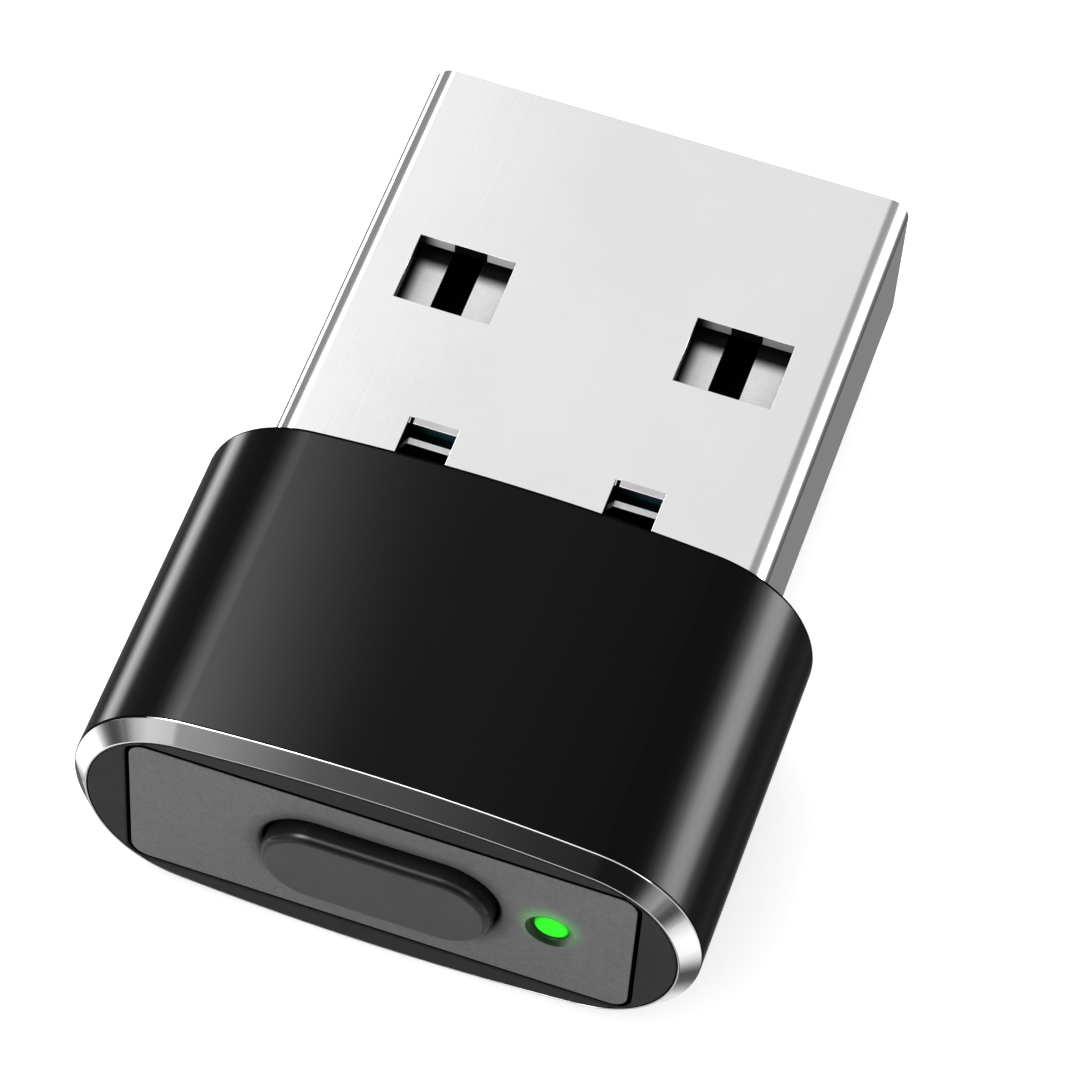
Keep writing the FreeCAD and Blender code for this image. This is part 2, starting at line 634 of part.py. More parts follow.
def make_plug_insulator():
    """A tongue and rear block, with pockets under the windows and channels for the contacts."""
    body = doc.addObject("PartDesign::Body", "plug_insulator_moulding")
    wide = "2 * (inner_half - tongue_fit)"
    tongue = new_sketch(body, "tongue_end", "0", "tongue_top - tongue_thickness / 2")
    rounded(tongue, wide, "tongue_thickness", "insulator_corner")
    feature(body, "Pad", tongue, "tongue_end - collar_rear")
    root = new_sketch(body, "mouth_bottom")
    rounded(root, wide, "2 * tongue_top", "insulator_corner")
    feature(body, "Pad", root, "mouth_bottom - collar_rear")
    above = "tongue_top + overrun"
    pocket_floor = "(tongue_top - pocket_depth)"
    window_front = "(plug_reach - window_setback)"
    window_rear = f"({window_front} - window_length)"
    slot_rear = "(slot_reach - slot_length)"
    lug_front = "(slot_reach - lug_gap)"
    recess_floor = "(tongue_top - recess_depth)"
    tools = []
    for side, sign in (("left", "-1"), ("right", "1")):
        window_middle = f"{sign} * (window_inner + window_width / 2)"
        slot_middle = f"{sign} * (slot_inner + slot_width / 2)"
        pocket_y = (f"{window_rear} - pocket_margin", f"{window_front} + pocket_reach")
        tools.append(block(side + "_pocket", span(window_middle, "window_width + 2 * pocket_margin"),
                           pocket_y, (pocket_floor, above)))
        tools.append(block(side + "_core", span(f"{sign} * contact_outer", "core_width"),
                           (f"{pocket_y[0]} - core_reach", f"{pocket_y[1]} + core_reach"),
                           ("contact_back - contact_clearance", above)))
        recess_x = span(slot_middle, "slot_width + 2 * recess_margin")
        tools.append(block(side + "_recess_front", recess_x, (lug_front, "slot_reach + recess_margin"),
                           (recess_floor, above)))
        tools.append(block(side + "_recess_rear", recess_x, (slot_rear, f"{lug_front} - lug_length"),
                           (recess_floor, above)))
    for name, place, setback in CONTACTS:
        tools.append(block(name + "_channel", span(place, "contact_width + 2 * contact_clearance"),
                           ("collar_rear - overrun", f"tongue_end - {setback} + contact_clearance"),
                           ("contact_face - contact_clearance", "contact_back + contact_clearance")))
    cutter = fused("plug_insulator_cutters", *tools)
    return cut("plug_insulator", body, cutter)


def make_contact(name, place, setback):
    """A flat strip in the tongue, bent down behind the insulator to a foot on the board."""
    across = span(place, "contact_width")
    bend = "(collar_rear - tail_drop_gap)"
    drop = f"({bend} - contact_metal)"
    return fused(
        name,
        block(name + "_strip", across, (drop, f"tongue_end - {setback}"), ("contact_face", "contact_back")),
        block(name + "_leg", across, (drop, bend), ("board_top", "contact_back")),
        block(name + "_foot", across, (f"{drop} - foot_length", bend),
              ("board_top", "board_top + contact_metal")))


def make_contact_solder():
    foot_end = "(collar_rear - tail_drop_gap - contact_metal - foot_length)"
    return group("contact_solder", [
        block(name + "_solder", span(place, "contact_width + 2 * solder_margin"),
              (f"{foot_end} - solder_length", foot_end), ("board_top", "board_top + solder_height"))
        for name, place, setback in CONTACTS])


# Board and its parts

def make_circuit_board():
    depth = "(board_half - inner_half + notch_clearance)"
    notches = [block(side + "_notch", span(f"{sign} * board_half", f"2 * {depth}"),
                     ("board_front - notch_length", "board_front + overrun"),
                     ("board_under - overrun", "board_top + overrun"))
               for side, sign in (("left", "-1"), ("right", "1"))]
    panel = block("circuit_board_panel", span("0", "2 * board_half"), ("board_rear", "board_front"),
                  ("board_under", "board_top"))
    return cut("circuit_board", panel, *notches)


def make_shell_solder():
    """Joins the shell's legs to the board's notches."""
    return group("shell_solder", [
        block(side + "_leg_solder", span(f"{sign} * (inner_half - notch_clearance / 2)", "notch_clearance"),
              ("board_front - notch_length + notch_clearance", "board_front"), ("board_under", "board_top"))
        for side, sign in (("left", "-1"), ("right", "1"))])


def make_switch():
    """A side push switch at the board's rear edge, with its plunger on the plug's axis."""
    top = "(board_top + switch_height)"
    inside_x = span("0", "switch_width - 2 * cover_metal")
    front = "(board_rear + cover_metal)"
    back = "(board_rear + switch_depth)"
    chamber_end = f"({front} + chamber_depth)"
    base = block("switch_base_block", inside_x, (front, back), ("board_top", f"{top} - cover_metal"))
    chamber = block("switch_chamber", span("0", "chamber_width"), (f"{front} - overrun", chamber_end),
                    span("0", "chamber_height"))
    cut("switch_base", base, chamber)
    shroud = block("switch_cover_outside", span("0", "switch_width"), ("board_rear", back),
                   ("board_top", top))
    hollow = block("switch_cover_inside", inside_x, (front, f"{back} + overrun"),
                   ("board_top - overrun", f"{top} - cover_metal"))
    window = block("switch_cover_window", span("0", "plunger_width + 2 * plunger_clearance"),
                   ("board_rear - overrun", f"{front} + overrun"),
                   span("0", "plunger_height + 2 * plunger_clearance"))
    cut("switch_cover", shroud, fused("switch_cover_cutters", hollow, window))
    head_start = f"({front} + plunger_clearance)"
    apex = f"({chamber_end} - dome_rise)"
    fused("switch_plunger",
          block("plunger_stem", span("0", "plunger_width"), ("button_seat", head_start),
                span("0", "plunger_height")),
          block("plunger_head_block", span("0", "plunger_width + 2 * plunger_shoulder"),
                (head_start, f"{head_start} + plunger_head"),
                span("0", "plunger_height + 2 * plunger_shoulder")),
          block("plunger_nub", span("0", "nub_width"), (head_start, apex), span("0", "nub_width")))
    curve = "((dome_radius ^ 2 + dome_rise ^ 2) / (2 * dome_rise))"
    ball = doc.addObject("Part::Sphere", "dome_outside")
    ball.setExpression("Radius", bound(curve))
    hollow_ball = doc.addObject("Part::Sphere", "dome_inside")
    hollow_ball.setExpression("Radius", bound(f"{curve} - dome_metal"))
    for sphere in (ball, hollow_ball):
        sphere.setExpression("Placement.Base.y", bound(f"{apex} + {curve}"))
    skin = cut("dome_skin", ball, hollow_ball)
    keep = block("dome_keep", span("0", "4 * dome_radius"), (f"{apex} - overrun", chamber_end),
                 span("0", "4 * dome_radius"))
    dome = doc.addObject("Part::Common", "snap_dome")
    dome.Base, dome.Tool = skin, keep
    tabs = []
    for side, sign in (("left", "-1"), ("right", "1")):
        for end, place in (("near", "board_rear + terminal_inset + terminal_width / 2"),
                           ("far", f"{back} - terminal_inset - terminal_width / 2")):
            tabs.append(block(f"{side}_{end}_terminal",
                              span(f"{sign} * (switch_width / 2 + terminal_reach / 2)", "terminal_reach"),
                              span(place, "terminal_width"), ("board_top", "board_top + terminal_metal")))
    group("switch_terminals", tabs)


def make_light():
    height = span("board_top + light_height / 2", "light_height")
    block("light_package", span("light_across", "light_width"),
          ("board_rear", "board_rear + light_depth"), height)
    block("light_window", span("light_across", "light_width - 2 * light_window_margin"),
          ("board_rear - light_window_depth", "board_rear"),
          span("board_top + light_height / 2", "light_height - 2 * light_window_margin"))


def make_controller():
    middle_x = "(-controller_across)"
    middle_y = "(board_rear + free_length / 2)"
    block("controller", span(middle_x, "controller_width"), span(middle_y, "controller_length"),
          ("board_top + pad_height", "board_top + pad_height + controller_height"))
    pads = []
    pad_z = ("board_top", "board_top + pad_height")

    def aside(sign, length):
        """The two ends of a pad across the chip's edge."""
        return span(f"{sign} * (({length}) / 2 + pad_reach / 2 - pad_length / 2)", "pad_length + pad_reach")

    def along(place, length):
        return span(f"({place}) * {PAD_STEP_SHARE} * {length}", "pad_width")
    for count, place in enumerate(PAD_PLACE_SHARES):
        for side, sign in (("low", "-1"), ("high", "1")):
            x, y = aside(sign, "controller_width"), along(place, "controller_length")
            pads.append(block(f"pad_x_{side}_{count}", [f"{middle_x} + {end}" for end in x],
                              [f"{middle_y} + {end}" for end in y], pad_z))
            x, y = along(place, "controller_width"), aside(sign, "controller_length")
            pads.append(block(f"pad_y_{side}_{count}", [f"{middle_x} + {end}" for end in x],
                              [f"{middle_y} + {end}" for end in y], pad_z))
    group("controller_pads", pads)


def make_crystal():
    middle_y = f"(solder_rear - {CRYSTAL_BEHIND_SHARE} * free_length)"
    top = "(board_top + crystal_height)"
    block("crystal_base", span("crystal_across", "crystal_length"), span(middle_y, "crystal_width"),
          ("board_top", top))
    block("crystal_lid", span("crystal_across", "crystal_length - 2 * crystal_lid_margin"),
          span(middle_y, "crystal_width - 2 * crystal_lid_margin"), (top, f"{top} + crystal_lid_height"))


def make_chips(kind, places, height):
    """A row of capacitors or resistors along Y, as one node of bodies and one of metal ends."""
    low = "board_top" if kind == "capacitor" else f"(board_under - {height})"
    z = (low, f"{low} + {height}")
    bodies, ends = [], []
    for count, (x, y) in enumerate(places):
        bodies.append(block(f"{kind}_{count}", span(x, "chip_width"),
                            span(y, "chip_length - 2 * chip_end"), z))
        for side, sign in (("low", "-1"), ("high", "1")):
            ends.append(block(f"{kind}_end_{side}_{count}", span(x, "chip_width"),
                              span(f"{y} + {sign} * (chip_length - chip_end) / 2", "chip_end"), z))
    group(kind + "s", bodies)
    group(kind + "_ends", ends)


def make_passives():
    column = []
    for count in range(3):
        behind = f"({CAPACITOR_START_SHARE} + {count} * {CAPACITOR_STEP_SHARE}) * board_length"
        column.append(("capacitor_across", f"(board_front - {behind})"))
    make_chips("capacitor", column, "capacitor_height")
    row = [(f"({step} * resistor_pitch)", "(board_front - board_length / 2)") for step in (-1, 0, 1)]
    make_chips("resistor", row, "resistor_height")


make_sleeve()
make_front_collar()
make_inner_frame()
make_rear_plate()
make_mode_button()
make_light_pipe()
make_plug_shell()
make_plug_insulator()
for contact in CONTACTS:
    make_contact(*contact)
make_contact_solder()
make_circuit_board()
make_shell_solder()
make_switch()
make_light()
make_controller()
make_crystal()
make_passives()

NODES = (
    "sleeve", "front_collar", "inner_frame", "rear_plate", "mode_button", "light_pipe",
    "plug_shell", "plug_insulator",
    "ground_contact", "data_plus_contact", "data_minus_contact", "power_contact",
    "contact_solder", "shell_solder", "circuit_board",
    "switch_base", "switch_cover", "switch_plunger", "snap_dome", "switch_terminals",
    "light_package", "light_window", "controller", "controller_pads", "crystal_base", "crystal_lid",
    "capacitors", "capacitor_ends", "resistors", "resistor_ends",
)

doc.recompute()
for item in doc.Objects:
    if {"Invalid", "Error"} & set(item.State):
        raise RuntimeError(f"{item.Label} failed: {item.State}")
for node in NODES:
    shape = doc.getObject(node).Shape
    if shape.isNull() or not shape.isValid():
        raise RuntimeError(f"{node} has no valid shape")
for node in NODES:
    shape = doc.getObject(node).Shape
    shape.exportStep(f"parts/{node}.step")
    print(f"{node}: {len(shape.Solids)} solid(s), {shape.Volume:.3f} mm3")
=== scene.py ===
import math

import bmesh
import bpy
from mathutils import Matrix, Vector


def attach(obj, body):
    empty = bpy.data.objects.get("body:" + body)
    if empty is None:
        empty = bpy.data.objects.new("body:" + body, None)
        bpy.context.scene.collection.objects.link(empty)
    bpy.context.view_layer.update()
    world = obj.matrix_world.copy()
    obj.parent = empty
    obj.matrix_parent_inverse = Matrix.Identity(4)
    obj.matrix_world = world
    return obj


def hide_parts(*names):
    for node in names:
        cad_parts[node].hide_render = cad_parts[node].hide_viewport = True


# A mouse jiggler dongle. Its pieces are made in millimetres and become metres when they are finished.

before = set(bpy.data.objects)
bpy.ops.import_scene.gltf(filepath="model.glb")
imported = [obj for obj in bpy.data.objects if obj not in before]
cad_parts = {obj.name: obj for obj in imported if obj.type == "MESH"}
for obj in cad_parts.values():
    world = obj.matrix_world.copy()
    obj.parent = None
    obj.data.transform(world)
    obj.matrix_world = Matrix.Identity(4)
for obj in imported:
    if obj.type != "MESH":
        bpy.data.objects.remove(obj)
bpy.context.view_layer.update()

MM = 0.001

# Sleeve, millimetres
SLEEVE_WIDTH = 14.85
SLEEVE_THICKNESS = 6.94
SLEEVE_LENGTH = 8.85
SLEEVE_WALL = 0.45
FRONT_WALL = 0.8
CROWN_RADIUS = 40.2
CHEEK_RADIUS = 2.86
END_RADIUS = 3.58
CHAMFER = 0.4

# Softness of the chamfer's outer and inner border, and how far a 45 degree corner moves for it
RIM_SOFT = 0.1
# Beyond this place across, the rim round the ends is painted-shade black
RIM_DARK_FROM = 5.6
LIP_SOFT = 0.045
CORNER_SHARE = math.sqrt(2) - 1

# Rear opening, plate, button and light
FRAME_INSET = 0.46
OPENING = (12.07, 4.74)
OPENING_CORNER = 0.5
LEDGE = 0.35
PLATE = (11.88, 4.54)
PLATE_CORNER = 0.42
PLATE_THICKNESS = 0.8
BUTTON_HALF = 1.5
BUTTON_RADIUS = 1.24
BUTTON_HOLE_RADIUS = 1.32
BUTTON_PROUD = 0.41
FLANGE_RADIUS = 1.64
BUTTON_SEAT = -7.53
RIM = 0.15
LIGHT_ACROSS = 4.01
LENS_HOLE_RADIUS = 0.43
LENS_RECESS = 0.12

# The lens's countersink, as (radius, depth) from its wall to the plate's face
COUNTERSINK = ((0.43, 0.14), (0.445, 0.10), (0.475, 0.062), (0.513, 0.03), (0.55, 0.008), (0.58, 0.0))

# Plug
PLUG = (12.0, 4.5)
PLUG_CORNER = 0.5
MOUTH_GAP = 0.05
SHEET = 0.3
TIP = 11.9
COLLAR_REAR = -1.6
WINDOW_X = (2.26, 4.65)
WINDOW_Y = (4.92, 6.87)
LIP = (1.62, 1.8)
LIP_DROP = 0.04
LIP_X = ((-3.11, -3.07), (-2.99, -1.91), (1.91, 1.95), (2.03, 3.11))
WINDOW_STEP = 6.91
POCKET_FLOOR = 1.6
SLOT_X = (1.91, 3.11)
SLOT_Y = (0.27, 1.77)
# Places across where the windows' tip-side cut faces are painted black, a painted reflection of the black core slots
# under them
DARK_X = ((-3.8, -2.98), (3.09, 3.87))
SEAM = 0.025
JOG_X = 1.0
JOG_Y = (5.9, 7.7)

# The floor lies just under the object, so that the studio's cards on it stay clear of the sleeve
FLOOR = -SLEEVE_THICKNESS / 2 - 0.006

# Segments of an outline: round end or side, cheek or corner, crown or top
OUTLINE_STEPS = (18, 16, 30)


# Shader groups

def new_group(name, inputs, outputs):
    """An empty shader group with sockets given as (name, kind, default)."""
    group = bpy.data.node_groups.new(name, "ShaderNodeTree")
    for label, kind, default in inputs:
        socket = group.interface.new_socket(label, in_out="INPUT", socket_type=kind)
        socket.default_value = default
    for label, kind in outputs:
        group.interface.new_socket(label, in_out="OUTPUT", socket_type=kind)
    return group, group.nodes.new("NodeGroupInput"), group.nodes.new("NodeGroupOutput")


def feed(tree, value, socket):
    """A number is set on the socket, and an output is linked to it."""
    if isinstance(value, (int, float)):
        socket.default_value = value
    else:
        tree.links.new(value, socket)


def math_node(tree, operation, *values):
    node = tree.nodes.new("ShaderNodeMath")
    node.operation = operation
    for value, socket in zip(values, node.inputs):
        feed(tree, value, socket)
    return node.outputs[0]


def plus(tree, first, second):
    return math_node(tree, "ADD", first, second)


def minus(tree, first, second):
    return math_node(tree, "SUBTRACT", first, second)


def times(tree, first, second):
    return math_node(tree, "MULTIPLY", first, second)


def distance(tree, first, second):
    """The length of a flat vector."""
    squares = plus(tree, math_node(tree, "POWER", first, 2.0), math_node(tree, "POWER", second, 2.0))
    return math_node(tree, "SQRT", squares)


def remap(tree, value, low, high, to_low=0.0, to_high=1.0):
    node = tree.nodes.new("ShaderNodeMapRange")
    node.interpolation_type = "SMOOTHSTEP"
    for socket, setting in zip(("Value", "From Min", "From Max", "To Min", "To Max"),
                               (value, low, high, to_low, to_high)):
        feed(tree, setting, node.inputs[socket])
    return node.outputs[0]


def split(tree, vector):
    """A vector's X, Y and Z."""
    parts = tree.nodes.new("ShaderNodeSeparateXYZ")
    tree.links.new(vector, parts.inputs[0])
    return parts.outputs


def millimetres(tree):
    """Object coordinates in millimetres."""
    place = tree.nodes.new("ShaderNodeTexCoord")
    scale = tree.nodes.new("ShaderNodeVectorMath")
    scale.operation = "SCALE"
    scale.inputs["Scale"].default_value = 1 / MM
    tree.links.new(place.outputs["Object"], scale.inputs[0])
    return scale.outputs[0]


def noise(tree, place, scale, detail, roughness=0.5):
    node = tree.nodes.new("ShaderNodeTexNoise")
    tree.links.new(place, node.inputs["Vector"])
    for socket, value in (("Scale", scale), ("Detail", detail), ("Roughness", roughness)):
        feed(tree, value, node.inputs[socket])
    return node.outputs["Fac"]


def make_grain_group():
    """Fine spark-eroded or moulded grain. Size is the grain's, in millimetres."""
    group, given, result = new_group(
        "moulded_grain", (("Size", "NodeSocketFloat", 0.06), ("Contrast", "NodeSocketFloat", 1.0)),
        (("Height", "NodeSocketFloat"), ("Mask", "NodeSocketFloat")))
    frequency = math_node(group, "DIVIDE", 1.0, given.outputs["Size"])
    place = millimetres(group)
    fine = noise(group, place, frequency, 3.0, 0.6)
    coarse = noise(group, place, times(group, frequency, 0.23), 2.0)
    mixed = plus(group, times(group, fine, 0.72), times(group, coarse, 0.28))
    centred = minus(group, mixed, 0.5)
    height = times(group, centred, given.outputs["Contrast"])
    group.links.new(plus(group, height, 0.5), result.inputs["Height"])
    group.links.new(remap(group, mixed, 0.38, 0.62), result.inputs["Mask"])
    return group


def make_handling_group():
    """Faint smudges and rubbed places, millimetres across."""
    group, given, result = new_group(
        "handling_marks", (("Size", "NodeSocketFloat", 3.0), ("Low", "NodeSocketFloat", 0.2),
                           ("High", "NodeSocketFloat", 0.3)),
        (("Roughness", "NodeSocketFloat"), ("Mask", "NodeSocketFloat")))
    place = millimetres(group)
    frequency = math_node(group, "DIVIDE", 1.0, given.outputs["Size"])
    broad = noise(group, place, frequency, 4.0, 0.55)
    fine = noise(group, place, times(group, frequency, 9.0), 2.0)
    both = plus(group, times(group, broad, 0.8), times(group, fine, 0.2))
    mask = remap(group, both, 0.36, 0.64)
    rough = remap(group, mask, 0.0, 1.0, given.outputs["Low"], given.outputs["High"])
    group.links.new(rough, result.inputs["Roughness"])
    group.links.new(mask, result.inputs["Mask"])
    return group


def make_drawn_group():
    """Very fine lines along the plug, as a drawn or rolled sheet has."""
    group, given, result = new_group(
        "drawn_lines", (("Pitch", "NodeSocketFloat", 0.08), ("Stretch", "NodeSocketFloat", 0.02)),
        (("Height", "NodeSocketFloat"),))
    parts = split(group, millimetres(group))
    merged = group.nodes.new("ShaderNodeCombineXYZ")
    group.links.new(parts["X"], merged.inputs["X"])
    group.links.new(times(group, parts["Y"], given.outputs["Stretch"]), merged.inputs["Y"])
    group.links.new(parts["Z"], merged.inputs["Z"])
    frequency = math_node(group, "DIVIDE", 1.0, given.outputs["Pitch"])
    group.links.new(noise(group, merged.outputs[0], frequency, 2.0), result.inputs["Height"])
    return group


def make_edge_group():
    """1 along the edges of a piece, broken up a little, and 0 elsewhere. Width in millimetres."""
    group, given, result = new_group(
        "rubbed_edges", (("Width", "NodeSocketFloat", 0.08), ("Breakup", "NodeSocketFloat", 0.5)),
        (("Mask", "NodeSocketFloat"),))
    bevel = group.nodes.new("ShaderNodeBevel")
    bevel.samples = 4
    group.links.new(times(group, given.outputs["Width"], MM), bevel.inputs["Radius"])
    surface = group.nodes.new("ShaderNodeNewGeometry")
    dot = group.nodes.new("ShaderNodeVectorMath")
    dot.operation = "DOT_PRODUCT"
    group.links.new(bevel.outputs[0], dot.inputs[0])
    group.links.new(surface.outputs["Normal"], dot.inputs[1])
    turn = minus(group, 1.0, dot.outputs["Value"])
    worn = noise(group, millimetres(group), 2.2, 4.0, 0.6)
    spread = times(group, minus(group, worn, 0.5), given.outputs["Breakup"])
    mask = remap(group, plus(group, turn, times(group, spread, turn)), 0.02, 0.25)
    group.links.new(mask, result.inputs["Mask"])
    return group


GRAIN = make_grain_group()
HANDLING = make_handling_group()
DRAWN = make_drawn_group()
EDGES = make_edge_group()


# Materials

def place_group(tree, group, **values):
    node = tree.nodes.new("ShaderNodeGroup")
    node.node_tree = group
    for name, value in values.items():
        node.inputs[name].default_value = value
    return node


def new_material(name, **settings):
    """A Principled material; settings name its sockets with underscores for spaces."""
    material = bpy.data.materials.new(name)
    material.use_nodes = True
    tree = material.node_tree
    shader = tree.nodes["Principled BSDF"]
    for key, value in settings.items():
        socket = shader.inputs[key.replace("_", " ")]
        socket.default_value = (*value, 1.0) if isinstance(value, tuple) else value
    return material, tree, shader


def mix_colours(tree, mask, first, second, target):
    """The target's colour runs from the first to the second over the mask. A colour is a tone or another's output."""
    mix = tree.nodes.new("ShaderNodeMix")
    mix.data_type = "RGBA"
    for end, value in (("A", first), ("B", second)):
        if isinstance(value, tuple):
            mix.inputs[end].default_value = (*value, 1.0)
        else:
            tree.links.new(value, mix.inputs[end])
    tree.links.new(mask, mix.inputs["Factor"])
    tree.links.new(mix.outputs["Result"], target)


def two_tones(tree, shader, mask, *tones):
    """The base colour runs from the first tone to the second over the mask. A number is a grey."""
    first, second = (tone if isinstance(tone, tuple) else (tone, tone, tone) for tone in tones)
    mix_colours(tree, mask, first, second, shader.inputs["Base Color"])


def darken(tree, shader, lit, grey=0.003):
    """Painted shade: the base colour stays where the mask says it is lit and is dark elsewhere."""
    base = shader.inputs["Base Color"]
    mix_colours(tree, lit, (grey, grey, grey), base.links[0].from_socket, base)


def glow(tree, shader, mask, first, second):
    """Light given off by the surface, which runs from the first colour to the second over the mask; on the plate it is
    a painted glow.
    """
    mix_colours(tree, mask, first, second, shader.inputs["Emission Color"])
    shader.inputs["Emission Strength"].default_value = 1.0


def handle(tree, shader, size, rough):
    """Handling marks of this size set the roughness."""
    marks = place_group(tree, HANDLING, Size=size, Low=rough[0], High=rough[1])
    tree.links.new(marks.outputs["Roughness"], shader.inputs["Roughness"])
    return marks


def bump(tree, shader, height, depth):
    """Depth in millimetres."""
    node = tree.nodes.new("ShaderNodeBump")
    node.inputs["Strength"].default_value = 1.0
    node.inputs["Distance"].default_value = depth * MM
    tree.links.new(height, node.inputs["Height"])
    tree.links.new(node.outputs[0], shader.inputs["Normal"])


def moulded(name, dark, light, grain, depth, rough, **settings):
    """Moulded plastic with a grain and handling marks."""
    material, tree, shader = new_material(name, **settings)
    texture = place_group(tree, GRAIN, Size=grain)
    two_tones(tree, shader, texture.outputs["Mask"], dark, light)
    bump(tree, shader, texture.outputs["Height"], depth)
    handle(tree, shader, 2.4, rough)
    return material, tree, shader


def plated(name, dark, light, rough, pitch, depth):
    """Metal with faint drawn lines and handling marks."""
    material, tree, shader = new_material(name, Metallic=1.0)
    two_tones(tree, shader, handle(tree, shader, 3.5, rough).outputs["Mask"], dark, light)
    lines = place_group(tree, DRAWN, Pitch=pitch)
    bump(tree, shader, lines.outputs["Height"], depth)
    return material


def gloss_black(name, rough, specular, dark):
    """Polished black that is a little worn along its edges."""
    material, tree, shader = new_material(name, Specular_IOR_Level=specular)
    handle(tree, shader, 4.0, rough)
    edges = place_group(tree, EDGES, Width=0.05, Breakup=0.6)
    two_tones(tree, shader, edges.outputs["Mask"], (dark, dark, dark * 1.03), (0.010, 0.010, 0.0105))
    grain = place_group(tree, GRAIN, Size=0.035)
    bump(tree, shader, grain.outputs["Height"], 0.0002)
    return material


def window_place(tree):
    """x and y in millimetres, with the right window brought to the left one's place, and x as it was."""
    parts = split(tree, millimetres(tree))
    return math_node(tree, "WRAP", parts["X"], WINDOW_STEP - 5.0, -5.0), parts["Y"], parts["X"]


def make_pocket_plastic():
    """White plastic with painted shade: dark where the sheet shades it, on the left and the tip side of each window.
    """
    material, tree, shader = moulded("pocket_plastic", 0.86, 0.94, 0.05, 0.002, (0.5, 0.6), Specular_IOR_Level=0.1)
    x, y, _ = window_place(tree)
    # Painted shade along the left and the tip side of each window
    darken(tree, shader, times(tree, remap(tree, x, -4.66, -4.34), remap(tree, y, 6.74, 6.34)))
    return material


def make_cut_sheet():
    """The sheet's sheared edge, with painted light: brighter in the left window than in the right one, and painted
    shade towards the left end of each window.
    """
    material, tree, shader = new_material("cut_sheet", Metallic=0.2, Specular_IOR_Level=0.3)
    handle(tree, shader, 0.8, (0.4, 0.5))
    x, _, across = window_place(tree)
    # Painted light: the left window's edge brighter than the right one's
    two_tones(tree, shader, remap(tree, across, -3.0, 3.0), 0.62, 0.33)
    # Painted shade towards the left end of each window
    darken(tree, shader, remap(tree, x, -4.58, -4.15))
    lines = place_group(tree, DRAWN, Pitch=0.04)
    bump(tree, shader, lines.outputs["Height"], 0.002)
    return material


def make_painted_shade_teal():
    """Dark teal painted shade in the hollow under each rear slot and on the pressed lips' cut faces, darker still
    towards the left end of each slot.
    """
    material, tree, shader = moulded("painted_shade_teal", (0.014, 0.056, 0.068), (0.020, 0.070, 0.084), 0.1, 0.002,
                                     (0.4, 0.5), Specular_IOR_Level=0.1)
    x = math_node(tree, "WRAP", split(tree, millimetres(tree))["X"], SLOT_X[0] + SLOT_X[1] - 4.0, -4.0)
    # Painted shade, darker towards each slot's left end
    darken(tree, shader, remap(tree, x, -2.95, -2.15))
    return material


def make_plate_plastic():
    """Grained plastic with painted shade, darker in the corner round the button, and a painted glow of the light that
    the lamp sheds round its opening.
    """
    material, tree, shader = moulded(
        "plate_plastic", (0.113, 0.113, 0.114), (0.148, 0.148, 0.149), 0.045, 0.004, (0.45, 0.55),
        Specular_IOR_Level=0.35)
    parts = split(tree, millimetres(tree))
    past_end = math_node(tree, "MAXIMUM", minus(tree, math_node(tree, "ABSOLUTE", parts["X"]), BUTTON_HALF), 0.0)
    from_button = distance(tree, past_end, parts["Z"])
    # Painted shade round the button's opening
    darken(tree, shader, remap(tree, from_button, BUTTON_HOLE_RADIUS + 0.06, BUTTON_HOLE_RADIUS + 0.5, 0.45, 1.0),
           0.022)
    # A painted glow of the lamp's light on the plate round its opening
    from_light = distance(tree, minus(tree, parts["X"], LIGHT_ACROSS), minus(tree, parts["Z"], 0.2))
    halo = math_node(tree, "POWER", remap(tree, from_light, 0.98, 0.28), 1.6)
    glow(tree, shader, halo, (0.0, 0.0, 0.0), (0.008, 0.30, 0.008))
    return material


def make_lens_rim():
    """The countersink round the lens: a dark green painted reflection of the lens's light, turning to a paler painted
    highlight towards its right.
    """
    material, tree, shader = new_material("lens_rim", Specular_IOR_Level=0.2)
    across = minus(tree, split(tree, millimetres(tree))["X"], LIGHT_ACROSS)
    # A dark green painted reflection of the lens's light, paler as a painted highlight towards the right
    two_tones(tree, shader, remap(tree, across, 0.15, 0.55), (0.006, 0.030, 0.006), (0.15, 0.20, 0.15))
    handle(tree, shader, 0.6, (0.3, 0.4))
    return material


def make_light_plastic():
    """Clear green plastic lit from behind, brightest in the middle."""
    material, tree, shader = new_material("light_pipe_plastic", Roughness=0.18, Specular_IOR_Level=0.1)
    parts = split(tree, millimetres(tree))
    from_middle = distance(tree, minus(tree, parts["X"], LIGHT_ACROSS), parts["Z"])
    glow(tree, shader, remap(tree, from_middle, 0.33, 0.41), (0.020, 0.90, 0.010), (0.008, 0.40, 0.008))
    grain = place_group(tree, GRAIN, Size=0.05)
    two_tones(tree, shader, grain.outputs["Mask"], (0.004, 0.06, 0.003), (0.006, 0.08, 0.004))
    return material


def make_clear_resin():
    material, tree, shader = new_material(
        "light_resin", Base_Color=(0.55, 0.95, 0.55), Transmission_Weight=0.8, IOR=1.5)
    handle(tree, shader, 0.6, (0.08, 0.16))
    return material


def make_board_laminate():
    """Solder mask with the copper tracks showing faintly through it."""
    material, tree, shader = new_material("board_laminate", Coat_Weight=0.3, Coat_Roughness=0.12)
    tracks = tree.nodes.new("ShaderNodeTexBrick")
    for socket, value in (("Scale", 1.0), ("Mortar Size", 0.06), ("Mortar Smooth", 0.3), ("Brick Width", 1.3),
                          ("Row Height", 0.55)):
        tracks.inputs[socket].default_value = value
    tree.links.new(millimetres(tree), tracks.inputs["Vector"])
    two_tones(tree, shader, tracks.outputs["Fac"], (0.008, 0.055, 0.055), (0.015, 0.10, 0.095))
    bump(tree, shader, tracks.outputs["Fac"], 0.01)
    handle(tree, shader, 1.5, (0.25, 0.4))
    return material


